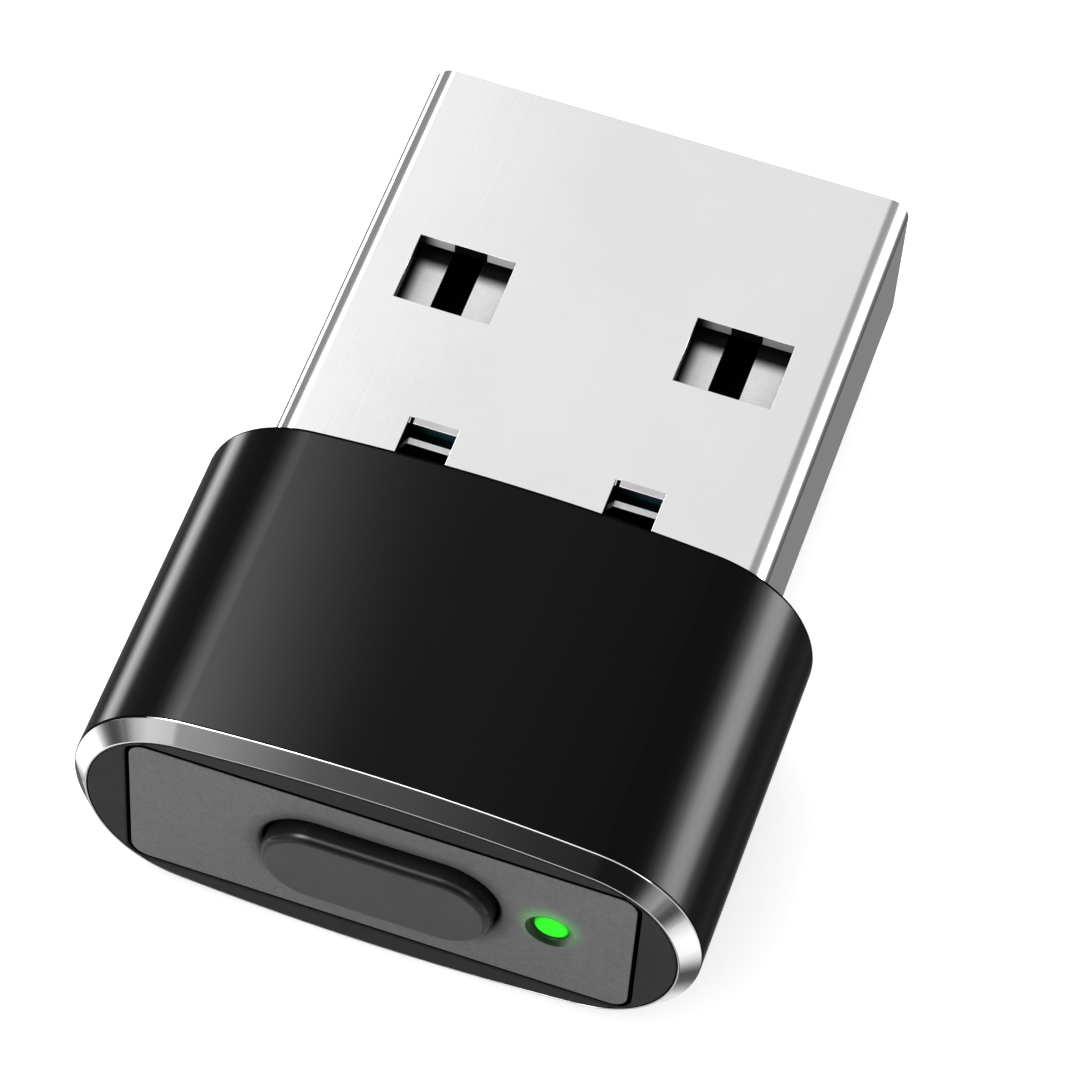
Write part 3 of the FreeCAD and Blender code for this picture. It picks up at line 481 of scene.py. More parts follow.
# name: dark tone, light tone, grain, its depth, roughness, other sockets
PLASTICS = {
    "frame_plastic": ((0.0175, 0.0175, 0.0178), (0.023, 0.023, 0.0233), 0.05, 0.0008, (0.38, 0.46),
                      {"Specular_IOR_Level": 0.1}),
    "button_plastic": ((0.041, 0.041, 0.0415), (0.050, 0.050, 0.0506), 0.05, 0.0008, (0.34, 0.42),
                       {"Specular_IOR_Level": 0.28}),
    "insulator_plastic": (0.68, 0.78, 0.05, 0.004, (0.45, 0.6), {}),
    # A near-black that is painted shade, in hollows, under the sheet and along dark edges
    "painted_shade_black": (0.003, 0.006, 0.1, 0.002, (0.5, 0.6), {"Specular_IOR_Level": 0.0}),
    "switch_plastic": ((0.020, 0.020, 0.021), (0.030, 0.030, 0.031), 0.06, 0.003, (0.5, 0.6), {}),
    "plunger_plastic": ((0.56, 0.54, 0.49), (0.66, 0.64, 0.59), 0.07, 0.003, (0.45, 0.55),
                        {"Subsurface_Weight": 0.1}),
    "light_ceramic": ((0.74, 0.74, 0.72), (0.84, 0.84, 0.82), 0.05, 0.002, (0.4, 0.5), {}),
    "chip_plastic": ((0.014, 0.014, 0.015), (0.026, 0.026, 0.027), 0.05, 0.004, (0.55, 0.65), {}),
    "crystal_ceramic": ((0.48, 0.43, 0.36), (0.60, 0.55, 0.47), 0.06, 0.003, (0.5, 0.6), {}),
    "capacitor_ceramic": ((0.30, 0.20, 0.11), (0.42, 0.29, 0.17), 0.05, 0.003, (0.4, 0.5), {}),
}

# name: dark tone, light tone, roughness, pitch and depth of the drawn lines; the chamfer is diamond cut
METALS = {
    "cut_metal": ((0.59, 0.59, 0.595), (0.634, 0.634, 0.638), (0.05, 0.08), 0.03, 0.0002),
    "nickel": (0.835, 0.855, (0.09, 0.11), 0.08, 0.0006),
    # The pressed lips' nickel is rougher, and painted a little darker as a painted shade on their slopes
    "pressed_shaded_nickel": (0.76, 0.80, (0.16, 0.22), 0.08, 0.0006),
    "contact_gold": ((0.78, 0.56, 0.22), (0.86, 0.66, 0.30), (0.18, 0.28), 0.05, 0.0006),
    "solder": ((0.56, 0.56, 0.57), 0.68, (0.3, 0.45), 0.12, 0.004),
    "switch_metal": ((0.62, 0.62, 0.63), 0.74, (0.25, 0.35), 0.06, 0.0006),
}

MATERIALS = {
    "black_anodised": gloss_black("black_anodised", (0.10, 0.13), 0.1, 0.0028),
    "button_gloss": gloss_black("button_gloss", (0.22, 0.26), 0.3, 0.009),
    "plate_plastic": make_plate_plastic(), "light_pipe_plastic": make_light_plastic(), "lens_rim": make_lens_rim(),
    "cut_sheet": make_cut_sheet(), "painted_shade_teal": make_painted_shade_teal(), "pocket_plastic": make_pocket_plastic(),
    "board_laminate": make_board_laminate(), "light_resin": make_clear_resin(),
    **{name: moulded(name, *row, **others)[0] for name, (*row, others) in PLASTICS.items()},
    **{name: plated(name, *row) for name, row in METALS.items()},
}


# Outlines, as (x, z) in millimetres, anticlockwise seen from the rear

def arc(centre, radius, start, end, steps):
    """Points along an arc, without its last."""
    angles = (start + (end - start) * index / steps for index in range(steps))
    return [(centre[0] + radius * math.cos(angle), centre[1] + radius * math.sin(angle)) for angle in angles]


def line(start, end, steps):
    return [(start[0] + (end[0] - start[0]) * index / steps, start[1] + (end[1] - start[1]) * index / steps)
            for index in range(steps)]


def crowned(inset=0.0):
    """The sleeve's outline, drawn in by the inset."""
    side, cheek, crown = OUTLINE_STEPS
    drop = CROWN_RADIUS - SLEEVE_THICKNESS / 2
    across = SLEEVE_WIDTH / 2 - END_RADIUS
    reach = math.hypot(across, drop)
    along = ((CROWN_RADIUS - CHEEK_RADIUS) ** 2 - (END_RADIUS - CHEEK_RADIUS) ** 2 + reach ** 2) / (2 * reach)
    aside = math.sqrt((CROWN_RADIUS - CHEEK_RADIUS) ** 2 - along ** 2)
    x = (along * across + aside * drop) / reach
    z = (along * drop - aside * across) / reach - drop
    low = math.atan2(z, x - across)
    high = math.atan2(z + drop, x)
    half = math.pi
    end_r, cheek_r, crown_r = END_RADIUS - inset, CHEEK_RADIUS - inset, CROWN_RADIUS - inset
    return (arc((across, 0), end_r, -low, low, side)
            + arc((x, z), cheek_r, low, high, cheek)
            + arc((0, -drop), crown_r, high, half - high, crown)
            + arc((-x, z), cheek_r, half - high, half - low, cheek)
            + arc((-across, 0), end_r, half - low, half + low, side)
            + arc((-x, -z), cheek_r, half + low, half + high, cheek)
            + arc((0, drop), crown_r, half + high, 2 * half - high, crown)
            + arc((x, -z), cheek_r, 2 * half - high, 2 * half - low, cheek))


def rounded(size, corner, inset=0.0):
    """A rectangle with round corners, drawn in by the inset, with as many points as the sleeve's outline."""
    side, bend, top = OUTLINE_STEPS
    half_w, half_h = size[0] / 2 - inset, size[1] / 2 - inset
    radius = max(corner - inset, 0.01)
    x, z = half_w - radius, half_h - radius
    quarter = math.pi / 2
    return (line((half_w, -z), (half_w, z), side)
            + arc((x, z), radius, 0, quarter, bend)
            + line((x, half_h), (-x, half_h), top)
            + arc((-x, z), radius, quarter, 2 * quarter, bend)
            + line((-half_w, z), (-half_w, -z), side)
            + arc((-x, -z), radius, 2 * quarter, 3 * quarter, bend)
            + line((-x, -half_h), (x, -half_h), top)
            + arc((x, -z), radius, 3 * quarter, 4 * quarter, bend))


def stadium(half, radius, steps=28):
    """Round ends about (half, 0) and (-half, 0), joined by straight sides."""
    quarter = math.pi / 2
    return (arc((half, 0), radius, -quarter, quarter, steps) + line((half, radius), (-half, radius), 6)
            + arc((-half, 0), radius, quarter, 3 * quarter, steps) + line((-half, -radius), (half, -radius), 6))


def circle(centre, radius, steps=56):
    return arc(centre, radius, 0, 2 * math.pi, steps)


def quarter_turn(steps):
    """(inwards, outwards) shares along the rounding of an edge."""
    angles = [math.radians(90 / steps * index) for index in range(steps + 1)]
    return [(1 - math.cos(angle), math.sin(angle)) for angle in angles]


def rounding(radius, corner, start, end, steps=6):
    """(inset, y) along part of an edge's rounding about its centre."""
    return [(corner[0] + radius * math.cos(math.radians(start + (end - start) * index / steps)),
             corner[1] + radius * math.sin(math.radians(start + (end - start) * index / steps)))
            for index in range(steps + 1)]


# Meshes

def make_loops(work, rings):
    return [[work.verts.new((x, y, z)) for x, z in outline] for outline, y in rings]


def skin(work, loops):
    """Faces from each loop to the next, with the number of their strip."""
    for strip, (near, far) in enumerate(zip(loops, loops[1:])):
        following = zip(near, near[1:] + near[:1], far[1:] + far[:1], far)
        for corners in following:
            yield strip, work.faces.new(corners)


def loft(rings, closed):
    """Skin over rings of (outline, y), all with the same number of points; closed to a tube's wall, or with caps."""
    work = bmesh.new()
    strips = work.faces.layers.int.new("strip")
    loops = make_loops(work, rings)
    for strip, face in skin(work, loops + loops[:1] if closed else loops):
        face[strips] = strip
    if not closed:
        work.faces.new(loops[0])
        work.faces.new(reversed(loops[-1]))
    bmesh.ops.recalc_face_normals(work, faces=work.faces[:])
    return work


def prism(work, profile, across):
    """A profile of (y, z) drawn out between two places across. Gives its sides in the profile's order."""
    left, right = ([work.verts.new((x, y, z)) for y, z in profile] for x in across)
    work.faces.new(left)
    work.faces.new(reversed(right))
    return [face for _, face in skin(work, [left, right])]


def as_object(name, work):
    """A working object, in millimetres, from a bmesh."""
    mesh = bpy.data.meshes.new(name)
    work.to_mesh(mesh)
    work.free()
    thing = bpy.data.objects.new(name, mesh)
    bpy.context.scene.collection.objects.link(thing)
    return thing


def soften(thing, width, angle=35.0):
    """Rounds the sharp edges; width in millimetres."""
    modifier = thing.modifiers.new("soft_edges", "BEVEL")
    modifier.width = width
    modifier.segments = 2
    modifier.limit_method = "ANGLE"
    modifier.angle_limit = math.radians(angle)


def finish_piece(thing, name, body, nodes, materials=()):
    """Turns a working object into a plain mesh in metres that rides on its body."""
    for material in materials:
        thing.data.materials.append(MATERIALS[material])
    for polygon in thing.data.polygons:
        polygon.use_smooth = True
    weights = thing.modifiers.new("flat_faces", "WEIGHTED_NORMAL")
    weights.mode = "FACE_AREA_WITH_ANGLE"
    weights.weight = 60
    weights.keep_sharp = True
    graph = bpy.context.evaluated_depsgraph_get()
    mesh = bpy.data.meshes.new_from_object(thing.evaluated_get(graph), depsgraph=graph)
    source = thing.data
    bpy.data.objects.remove(thing)
    bpy.data.meshes.remove(source)
    mesh.transform(Matrix.Scale(MM, 4))
    mesh.name = name
    piece = bpy.data.objects.new(name, mesh)
    bpy.context.scene.collection.objects.link(piece)
    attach(piece, body)
    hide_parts(*nodes)
    return piece


def block(work, x, y, z, base=0, right=0, lean=0.0):
    """A box between low and high ends. Its underside and right side may have a material, and the right side a lean."""
    corners = [work.verts.new((x[i] - lean * i * (1 - k), y[j], z[k])) for i in (0, 1) for j in (0, 1) for k in (0, 1)]
    for indices, material in (((0, 1, 3, 2), 0), ((4, 6, 7, 5), right), ((0, 4, 5, 1), 0), ((2, 3, 7, 6), 0),
                              ((1, 5, 7, 3), 0), ((0, 2, 6, 4), base)):
        work.faces.new([corners[index] for index in indices]).material_index = material
    return work


# Housing

def make_sleeve():
    rear = -SLEEVE_LENGTH
    outer = [(crowned(inset), y) for inset, y in
             [(0.0, -0.12), (0.0, -4.0)]
             + rounding(RIM_SOFT, (RIM_SOFT, rear + CHAMFER + RIM_SOFT * CORNER_SHARE), 180, 225, 6)]
    cut = [(crowned(inset), y) for inset, y in
           rounding(LIP_SOFT, (CHAMFER + LIP_SOFT * CORNER_SHARE, rear + LIP_SOFT), 225, 270, 4)
           + [(SLEEVE_WALL, rear + 0.01)]]
    inner = [(crowned(SLEEVE_WALL), -FRONT_WALL)]
    mouth = [(rounded(PLUG, PLUG_CORNER, -MOUTH_GAP - grow), y)
             for grow, y in ((0.0, -FRONT_WALL), (0.0, -0.05), (0.015, -0.015), (0.05, 0.0))]
    front = [(crowned(inset), y) for inset, y in reversed(rounding(0.12, (0.12, -0.12), 180, 90, 6)[1:])]
    rings = outer + cut + inner + mouth + front
    work = loft(rings, True)
    strip = work.faces.layers.int.get("strip")
    first = len(outer) - 4
    last = len(outer) + len(cut) - 1
    shade_front = len(rings) - len(front)
    for face in work.faces:
        # Painted shade: round the two ends the rim is painted-shade black until the cut metal starts, which it does
        # further in at the left, and the front rounding is painted-shade black too.
        across = face.calc_center_median().x
        start = first + 2 if across < -RIM_DARK_FROM else first
        dark = 2 <= face[strip] < start and abs(across) > RIM_DARK_FROM
        face.material_index = 1 if start <= face[strip] < last else 2 if face[strip] >= shade_front or dark else 0
    thing = as_object("sleeve_work", work)
    return finish_piece(thing, "sleeve_shell", "housing", ["sleeve"],
                        ["black_anodised", "cut_metal", "painted_shade_black"])


def make_inner_frame():
    rear = -SLEEVE_LENGTH
    soft = 0.05
    outside = [(crowned(FRAME_INSET), COLLAR_REAR), (crowned(FRAME_INSET), rear + soft)]
    outside += [(crowned(FRAME_INSET + soft * share_in), rear + soft * share_y)
                for share_in, share_y in ((0.08, 0.62), (0.3, 0.3), (0.62, 0.08), (1.0, 0.0))]
    opening = [(rounded(OPENING, OPENING_CORNER, -soft * share_in), rear + soft * share_y)
               for share_in, share_y in ((1.0, 0.0), (0.62, 0.08), (0.3, 0.3), (0.08, 0.62), (0.0, 1.0))]
    seat = rear + PLATE_THICKNESS
    cavity = (OPENING[0] - 2 * LEDGE, OPENING[1] - 2 * LEDGE)
    inside = [(rounded(OPENING, OPENING_CORNER), seat), (rounded(cavity, OPENING_CORNER), seat),
              (rounded(cavity, OPENING_CORNER), COLLAR_REAR)]
    work = loft(outside + opening + inside, True)
    strip = work.faces.layers.int.get("strip")
    # Painted shade: the wall inside the opening, the ledge and the cavity are painted-shade black.
    for face in work.faces:
        face.material_index = 1 if face[strip] >= len(outside) + len(opening) - 2 else 0
    thing = as_object("frame_work", work)
    return finish_piece(thing, "inner_frame_shell", "housing", ["inner_frame"],
                        ["frame_plastic", "painted_shade_black"])


def fill_between(work, loops):
    """Closes the flat area between an outer loop and the holes in it."""
    edges = []
    for loop in loops:
        for near, far in zip(loop, loop[1:] + loop[:1]):
            edges.append(work.edges.get((near, far)) or work.edges.new((near, far)))
    return bmesh.ops.triangle_fill(work, edges=edges, use_beauty=True, use_dissolve=False)


def make_rear_plate():
    rear = -SLEEVE_LENGTH
    back = rear + PLATE_THICKNESS
    work = bmesh.new()
    faces_front, faces_back = [], []

    def wall(outlines, dark, finish=0):
        loops = make_loops(work, outlines)
        for strip, face in skin(work, loops):
            # Painted shade: the strips before dark, from the back, are painted-shade black.
            face.material_index = 1 if strip < dark else finish
        faces_back.append(loops[0])
        faces_front.append(loops[-1])

    soft = 0.035
    steps = quarter_turn(6)
    wall([(rounded(PLATE, PLATE_CORNER), back)]
         + [(rounded(PLATE, PLATE_CORNER, soft * inward), rear + soft - soft * out) for inward, out in steps], 3)
    wall([(stadium(BUTTON_HALF, BUTTON_HOLE_RADIUS), back)]
         + [(stadium(BUTTON_HALF, BUTTON_HOLE_RADIUS + RIM * inward), rear + RIM - RIM * out)
            for inward, out in steps], 1)
    wall([(circle((LIGHT_ACROSS, 0), LENS_HOLE_RADIUS), back)]
         + [(circle((LIGHT_ACROSS, 0), radius), rear + depth) for radius, depth in COUNTERSINK], 0, 2)
    fill_between(work, faces_front)
    fill_between(work, faces_back)
    for sign in (-1, 1):
        arm, barb = (5.235, 5.635), (5.635, 5.835)
        for reach, along in ((arm, (-8.05, -7.1)), (barb, (-7.4, -7.1))):
            block(work, sorted((sign * reach[0], sign * reach[1])), along, (-0.45, 0.75))
    bmesh.ops.recalc_face_normals(work, faces=work.faces[:])
    thing = as_object("plate_work", work)
    return finish_piece(thing, "rear_plate_panel", "housing", ["rear_plate"],
                        ["plate_plastic", "painted_shade_black", "lens_rim"])


def make_mode_button():
    face = -SLEEVE_LENGTH - BUTTON_PROUD
    edge = 0.2
    flange = [(FLANGE_RADIUS - 0.05, BUTTON_SEAT), (FLANGE_RADIUS, -7.58), (FLANGE_RADIUS, -7.98),
              (FLANGE_RADIUS - 0.05, -8.03)]
    round_edge = [(BUTTON_RADIUS - edge * inward, face + edge - edge * out) for inward, out in quarter_turn(8)]
    profile = flange + [(BUTTON_RADIUS, -8.03)] + round_edge + [(BUTTON_RADIUS - edge - 0.02, face)]
    work = loft([(stadium(BUTTON_HALF, radius), y) for radius, y in profile], False)
    for side in work.faces:
        side.material_index = 1 if all(vert.co.y < face + 0.005 for vert in side.verts) else 0
    thing = as_object("button_work", work)
    return finish_piece(thing, "mode_button_cap", "button", ["mode_button"],
                        ["button_gloss", "button_plastic"])


def make_light_pipe():
    centre = (LIGHT_ACROSS, 0)
    face = -SLEEVE_LENGTH + LENS_RECESS
    rings = [(circle(centre, radius), y) for radius, y in (
        (0.34, -7.05), (0.4, -7.1), (0.4, -7.65), (0.62, -7.65), (0.65, -7.68), (0.65, -8.02), (0.62, -8.05),
        (0.41, -8.05), (0.41, face + 0.03), (0.401, face + 0.009), (0.38, face), (0.37, face))]
    thing = as_object("light_work", loft(rings, False))
    return finish_piece(thing, "light_pipe_lens", "housing", ["light_pipe"],
                        ["light_pipe_plastic"])


# Plug

def shell_points(depth):
    """The shell's section at this depth below its outside, as (x, z), with the breaks for windows and seam."""
    half_w, half_h = PLUG[0] / 2, PLUG[1] / 2
    x, z = half_w - PLUG_CORNER, half_h - PLUG_CORNER
    radius = PLUG_CORNER - depth
    quarter = math.pi / 2
    bend = 10
    breaks = sorted({-x, x, *WINDOW_X, *(-v for v in WINDOW_X), *SLOT_X, *(-v for v in SLOT_X),
                     *(edge for pair in DARK_X for edge in pair), -SEAM, SEAM, JOG_X - SEAM, JOG_X + SEAM})
    top = [(value, half_h - depth) for value in reversed(breaks)]
    under = [(value, depth - half_h) for value in breaks]

    def corner(cx, cz, start):
        return arc((cx, cz), radius, start, start + quarter, bend)[1:]
    return (top + corner(-x, z, quarter) + [(depth - half_w, z), (depth - half_w, -z)]
            + corner(-x, -z, 2 * quarter) + under + corner(x, -z, 3 * quarter)
            + [(half_w - depth, -z), (half_w - depth, z)] + corner(x, z, 0))


def is_cut(low, high, y_low, y_high):
    """Whether a cell of the folded sheet falls in a window, a rear slot or the seam."""
    x, z = (low[0] + high[0]) / 2, (low[1] + high[1]) / 2
    y = (y_low + y_high) / 2
    if abs(z) < PLUG[1] / 2 - 0.01:
        return False
    if WINDOW_X[0] < abs(x) < WINDOW_X[1] and WINDOW_Y[0] < y < WINDOW_Y[1]:
        return True
    if z > 0:
        return SLOT_X[0] < abs(x) < SLOT_X[1] and SLOT_Y[0] < y < SLOT_Y[1]
    stepped = JOG_Y[0] < y < JOG_Y[1]
    if abs(x - (JOG_X if stepped else 0.0)) < SEAM and abs(x - 0.5) > 0.4:
        return True
    at_step = min(abs(y - JOG_Y[0]), abs(y - JOG_Y[1])) < SEAM
    return at_step and -SEAM < x < JOG_X + SEAM


def press_lip(work, across):
    """The tip side of a rear slot: the sheet pressed down a little towards its cut end."""
    top, under = PLUG[1] / 2, PLUG[1] / 2 - SHEET
    profile = ((LIP[1], top + LIP_DROP * 0.1), (LIP[0], top - LIP_DROP), (LIP[0], under), (LIP[1], under))
    # The lip's cut face takes the dark teal painted shade, and its slope the rougher nickel painted a little darker, a
    # painted shade.
    for index, face in enumerate(prism(work, profile, across)):
        face.material_index = 3 if index == 1 else 4


def make_plug_shell():
    jogs = {level + side for level in JOG_Y for side in (-SEAM, SEAM)}
    levels = sorted({COLLAR_REAR, *SLOT_Y, *WINDOW_Y, TIP} | jogs)
    outside, inside = shell_points(0.0), shell_points(SHEET)
    count = len(outside)
    work = bmesh.new()
    grid = {}

    def corner(layer, around, along):
        key = (layer, around % count, along)
        if key not in grid:
            x, z = (outside, inside)[layer][around % count]
            grid[key] = work.verts.new((x, levels[along], z))
        return grid[key]

    def solid(around, along):
        if not 0 <= along < len(levels) - 1:
            return False
        low, high = outside[around % count], outside[(around + 1) % count]
        return not is_cut(low, high, levels[along], levels[along + 1])

    def rim(ends):
        (a, b), (c, d) = ends
        return work.faces.new((corner(0, a, b), corner(0, c, d), corner(1, c, d), corner(1, a, b)))
    for around in range(count):
        for along in range(len(levels) - 1):
            if not solid(around, along):
                continue
            (near_x, near_z), (far_x, far_z) = outside[around], outside[(around + 1) % count]
            under_top = min(near_z, far_z) > PLUG[1] / 2 - 0.01
            for layer in (0, 1):
                face = work.faces.new((corner(layer, around, along), corner(layer, around + 1, along),
                                       corner(layer, around + 1, along + 1), corner(layer, around, along + 1)))
                # Painted shade: the inside of the sheet under the top is painted-shade black.
                face.material_index = 2 if layer and under_top else 0
            for side, ends in ((around - 1, ((around, along), (around, along + 1))),
                               (around + 1, ((around + 1, along), (around + 1, along + 1)))):
                if not solid(side, along):
                    # Painted shade: one side wall of each rear slot is painted-shade black; the other cut faces under
                    # the top take the sheared edge.
                    shaded = side < around and levels[along] == SLOT_Y[0]
                    rim(ends).material_index = 0 if not under_top else 2 if shaded else 1
            for side, ends in ((along - 1, ((around, along), (around + 1, along))),
                               (along + 1, ((around, along + 1), (around + 1, along + 1)))):
                if not solid(around, side):
                    # Painted shade on the tip-side cut faces of the rear slots, and across DARK_X a painted dark
                    # reflection of the black core slots on the windows' tip-side cut faces.
                    in_dark = any(low < (near_x + far_x) / 2 < high for low, high in DARK_X)
                    dark = under_top and side < along and (in_dark or levels[along] == SLOT_Y[1])
                    rim(ends).material_index = 2 if dark else 0 if levels[ends[0][1]] in (TIP, COLLAR_REAR) else 1
    for across in LIP_X:
        press_lip(work, across)
    for sign in (-1, 1):
        block(work, sorted((sign * 5.7, sign * 6.0)), (-2.9, COLLAR_REAR - 0.001), (-1.25, -0.15))
    bmesh.ops.recalc_face_normals(work, faces=work.faces[:])
    thing = as_object("shell_work", work)
    soften(thing, 0.012, 50)
    return finish_piece(thing, "plug_shell_sheet", "housing", ["plug_shell"],
                        ["nickel", "cut_sheet", "painted_shade_black", "painted_shade_teal", "pressed_shaded_nickel"])


def cutter(name, materials, boxes, **sides):
    """A tool that leaves its first material on the walls it cuts and its last on the floor."""
    work = bmesh.new()
    for box in boxes:
        block(work, *box, **(sides or {"base": len(materials) - 1}))
    bmesh.ops.recalc_face_normals(work, faces=work.faces[:])
    thing = as_object(name, work)
    for material in materials:
        thing.data.materials.append(MATERIALS[material])
    return thing


def make_plug_insulator():
    """The tongue under the windowed face, its root block, and the hollows under windows and slots."""
    half, top, face = 5.68, 1.93, -0.02
    above = top + 0.5
    work = bmesh.new()
    profile = [(COLLAR_REAR, -top), (2.6, -top), (2.6, face), (11.6, face), (11.6, top), (COLLAR_REAR, top)]
    prism(work, profile, (-half, half))
    bmesh.ops.recalc_face_normals(work, faces=work.faces[:])
    thing = as_object("insulator_work", work)
    thing.data.materials.append(MATERIALS["insulator_plastic"])
    pockets, cores, recesses, wells, gaps, channels = [], [], [], [], [], []
    for sign in (-1, 1):
        pockets.append((sorted((sign * 1.96, sign * 4.95)), (4.62, 7.62), (POCKET_FLOOR, above)))
        for group, along in ((recesses, (0.27, 1.24)), (wells, (1.42, 1.87))):
            group.append((sorted((sign * 1.81, sign * 3.21)), along, (1.03, above)))
    for left in (-3.88, 3.02):
        cores.append(((left, left + 0.77), (4.27, 7.97), (0.3, above)))
    for left in (-3.21, 1.81):
        gaps.append(((left - 0.39, left + 0.543), (1.1, 1.6), (1.35, above)))
    for place, end in ((-3.5, 10.32), (-1.0, 9.32), (1.0, 9.32), (3.5, 10.32)):
        channels.append(((place - 0.52, place + 0.52), (-2.1, end), (-0.09, 0.2)))
    # Painted shade: the cutters leave painted-shade black on the pockets' walls, the cores, the recesses and the gaps,
    # and the dark teal painted shade in the wells; the pockets' floors take the white plastic with its painted shade,
    # and the gaps' leaning sides the insulator's plastic.
    tools = [cutter("pockets", ["painted_shade_black", "pocket_plastic"], pockets), cutter("cores", ["painted_shade_black"], cores),
             cutter("recesses", ["painted_shade_black"], recesses), cutter("wells", ["painted_shade_teal"], wells),
             cutter("gaps", ["painted_shade_black", "insulator_plastic"], gaps, right=1, lean=0.697),
             cutter("channels", ["insulator_plastic"], channels)]
    for tool in tools:
        carve = thing.modifiers.new(tool.name, "BOOLEAN")
        carve.operation = "DIFFERENCE"
        carve.solver = "EXACT"
        carve.material_mode = "TRANSFER"
        carve.object = tool
    soften(thing, 0.015)
    piece = finish_piece(thing, "plug_insulator_moulding", "housing", ["plug_insulator"])
    for tool in tools:
        bpy.data.objects.remove(tool)
    return piece


# Repeated small parts, as rows made by one Geometry Nodes tree

def make_row_tree():
    """Adds a row of equal blocks or beads to what comes in."""
    tree = bpy.data.node_groups.new("row_of_parts", "GeometryNodeTree")
    sockets = (("Geometry", "NodeSocketGeometry"), ("Count", "NodeSocketInt"), ("Start", "NodeSocketVector"),
               ("Step", "NodeSocketVector"), ("Size", "NodeSocketVector"), ("Bead", "NodeSocketBool"),
               ("Finish", "NodeSocketMaterial"))
    for name, kind in sockets:
        tree.interface.new_socket(name, in_out="INPUT", socket_type=kind)
    tree.interface.new_socket("Geometry", in_out="OUTPUT", socket_type="NodeSocketGeometry")
    given, result = tree.nodes.new("NodeGroupInput"), tree.nodes.new("NodeGroupOutput")
    row = tree.nodes.new("GeometryNodeMeshLine")
    row.mode = "OFFSET"
    cube = tree.nodes.new("GeometryNodeMeshCube")
    bead = tree.nodes.new("GeometryNodeMeshUVSphere")
    bead.inputs["Radius"].default_value = 0.5
    bead.inputs["Segments"].default_value = 24
    bead.inputs["Rings"].default_value = 14
    stretch = tree.nodes.new("GeometryNodeTransform")
    switch = tree.nodes.new("GeometryNodeSwitch")
    switch.input_type = "GEOMETRY"
    copies = tree.nodes.new("GeometryNodeInstanceOnPoints")
    joined = tree.nodes.new("GeometryNodeJoinGeometry")
    real = tree.nodes.new("GeometryNodeRealizeInstances")
    finish = tree.nodes.new("GeometryNodeSetMaterial")
    for source, target in (
            (given.outputs["Count"], row.inputs["Count"]), (given.outputs["Start"], row.inputs["Start Location"]),
            (given.outputs["Step"], row.inputs["Offset"]), (given.outputs["Size"], cube.inputs["Size"]),
            (bead.outputs["Mesh"], stretch.inputs["Geometry"]), (given.outputs["Size"], stretch.inputs["Scale"]),
            (given.outputs["Bead"], switch.inputs["Switch"]), (cube.outputs["Mesh"], switch.inputs["False"]),
            (stretch.outputs["Geometry"], switch.inputs["True"]), (row.outputs["Mesh"], copies.inputs["Points"]),
            (switch.outputs["Output"], copies.inputs["Instance"]), (copies.outputs["Instances"], joined.inputs[0]),
            (given.outputs["Geometry"], joined.inputs[0]), (joined.outputs[0], real.inputs["Geometry"]),
            (real.outputs["Geometry"], finish.inputs["Geometry"]),
            (given.outputs["Finish"], finish.inputs["Material"]), (finish.outputs["Geometry"], result.inputs[0])):
        tree.links.new(source, target)
    return tree


ROWS = make_row_tree()
ROW_INPUTS = {item.name: item.identifier for item in ROWS.interface.items_tree if item.in_out == "INPUT"}


def make_rows(name, node, slot, rows, soft=0.02, bead=False):
    """Rows are (count, start, step, size), in millimetres."""
    thing = as_object(name + "_work", bmesh.new())
    for count, start, step, size in rows:
        modifier = thing.modifiers.new("row", "NODES")
        modifier.node_group = ROWS
        for label, value in (("Count", count), ("Start", start), ("Step", step), ("Size", size), ("Bead", bead),
                             ("Finish", MATERIALS[slot])):
            modifier[ROW_INPUTS[label]] = value
    if not bead:
        soften(thing, soft)
    return finish_piece(thing, name, "housing", [node])


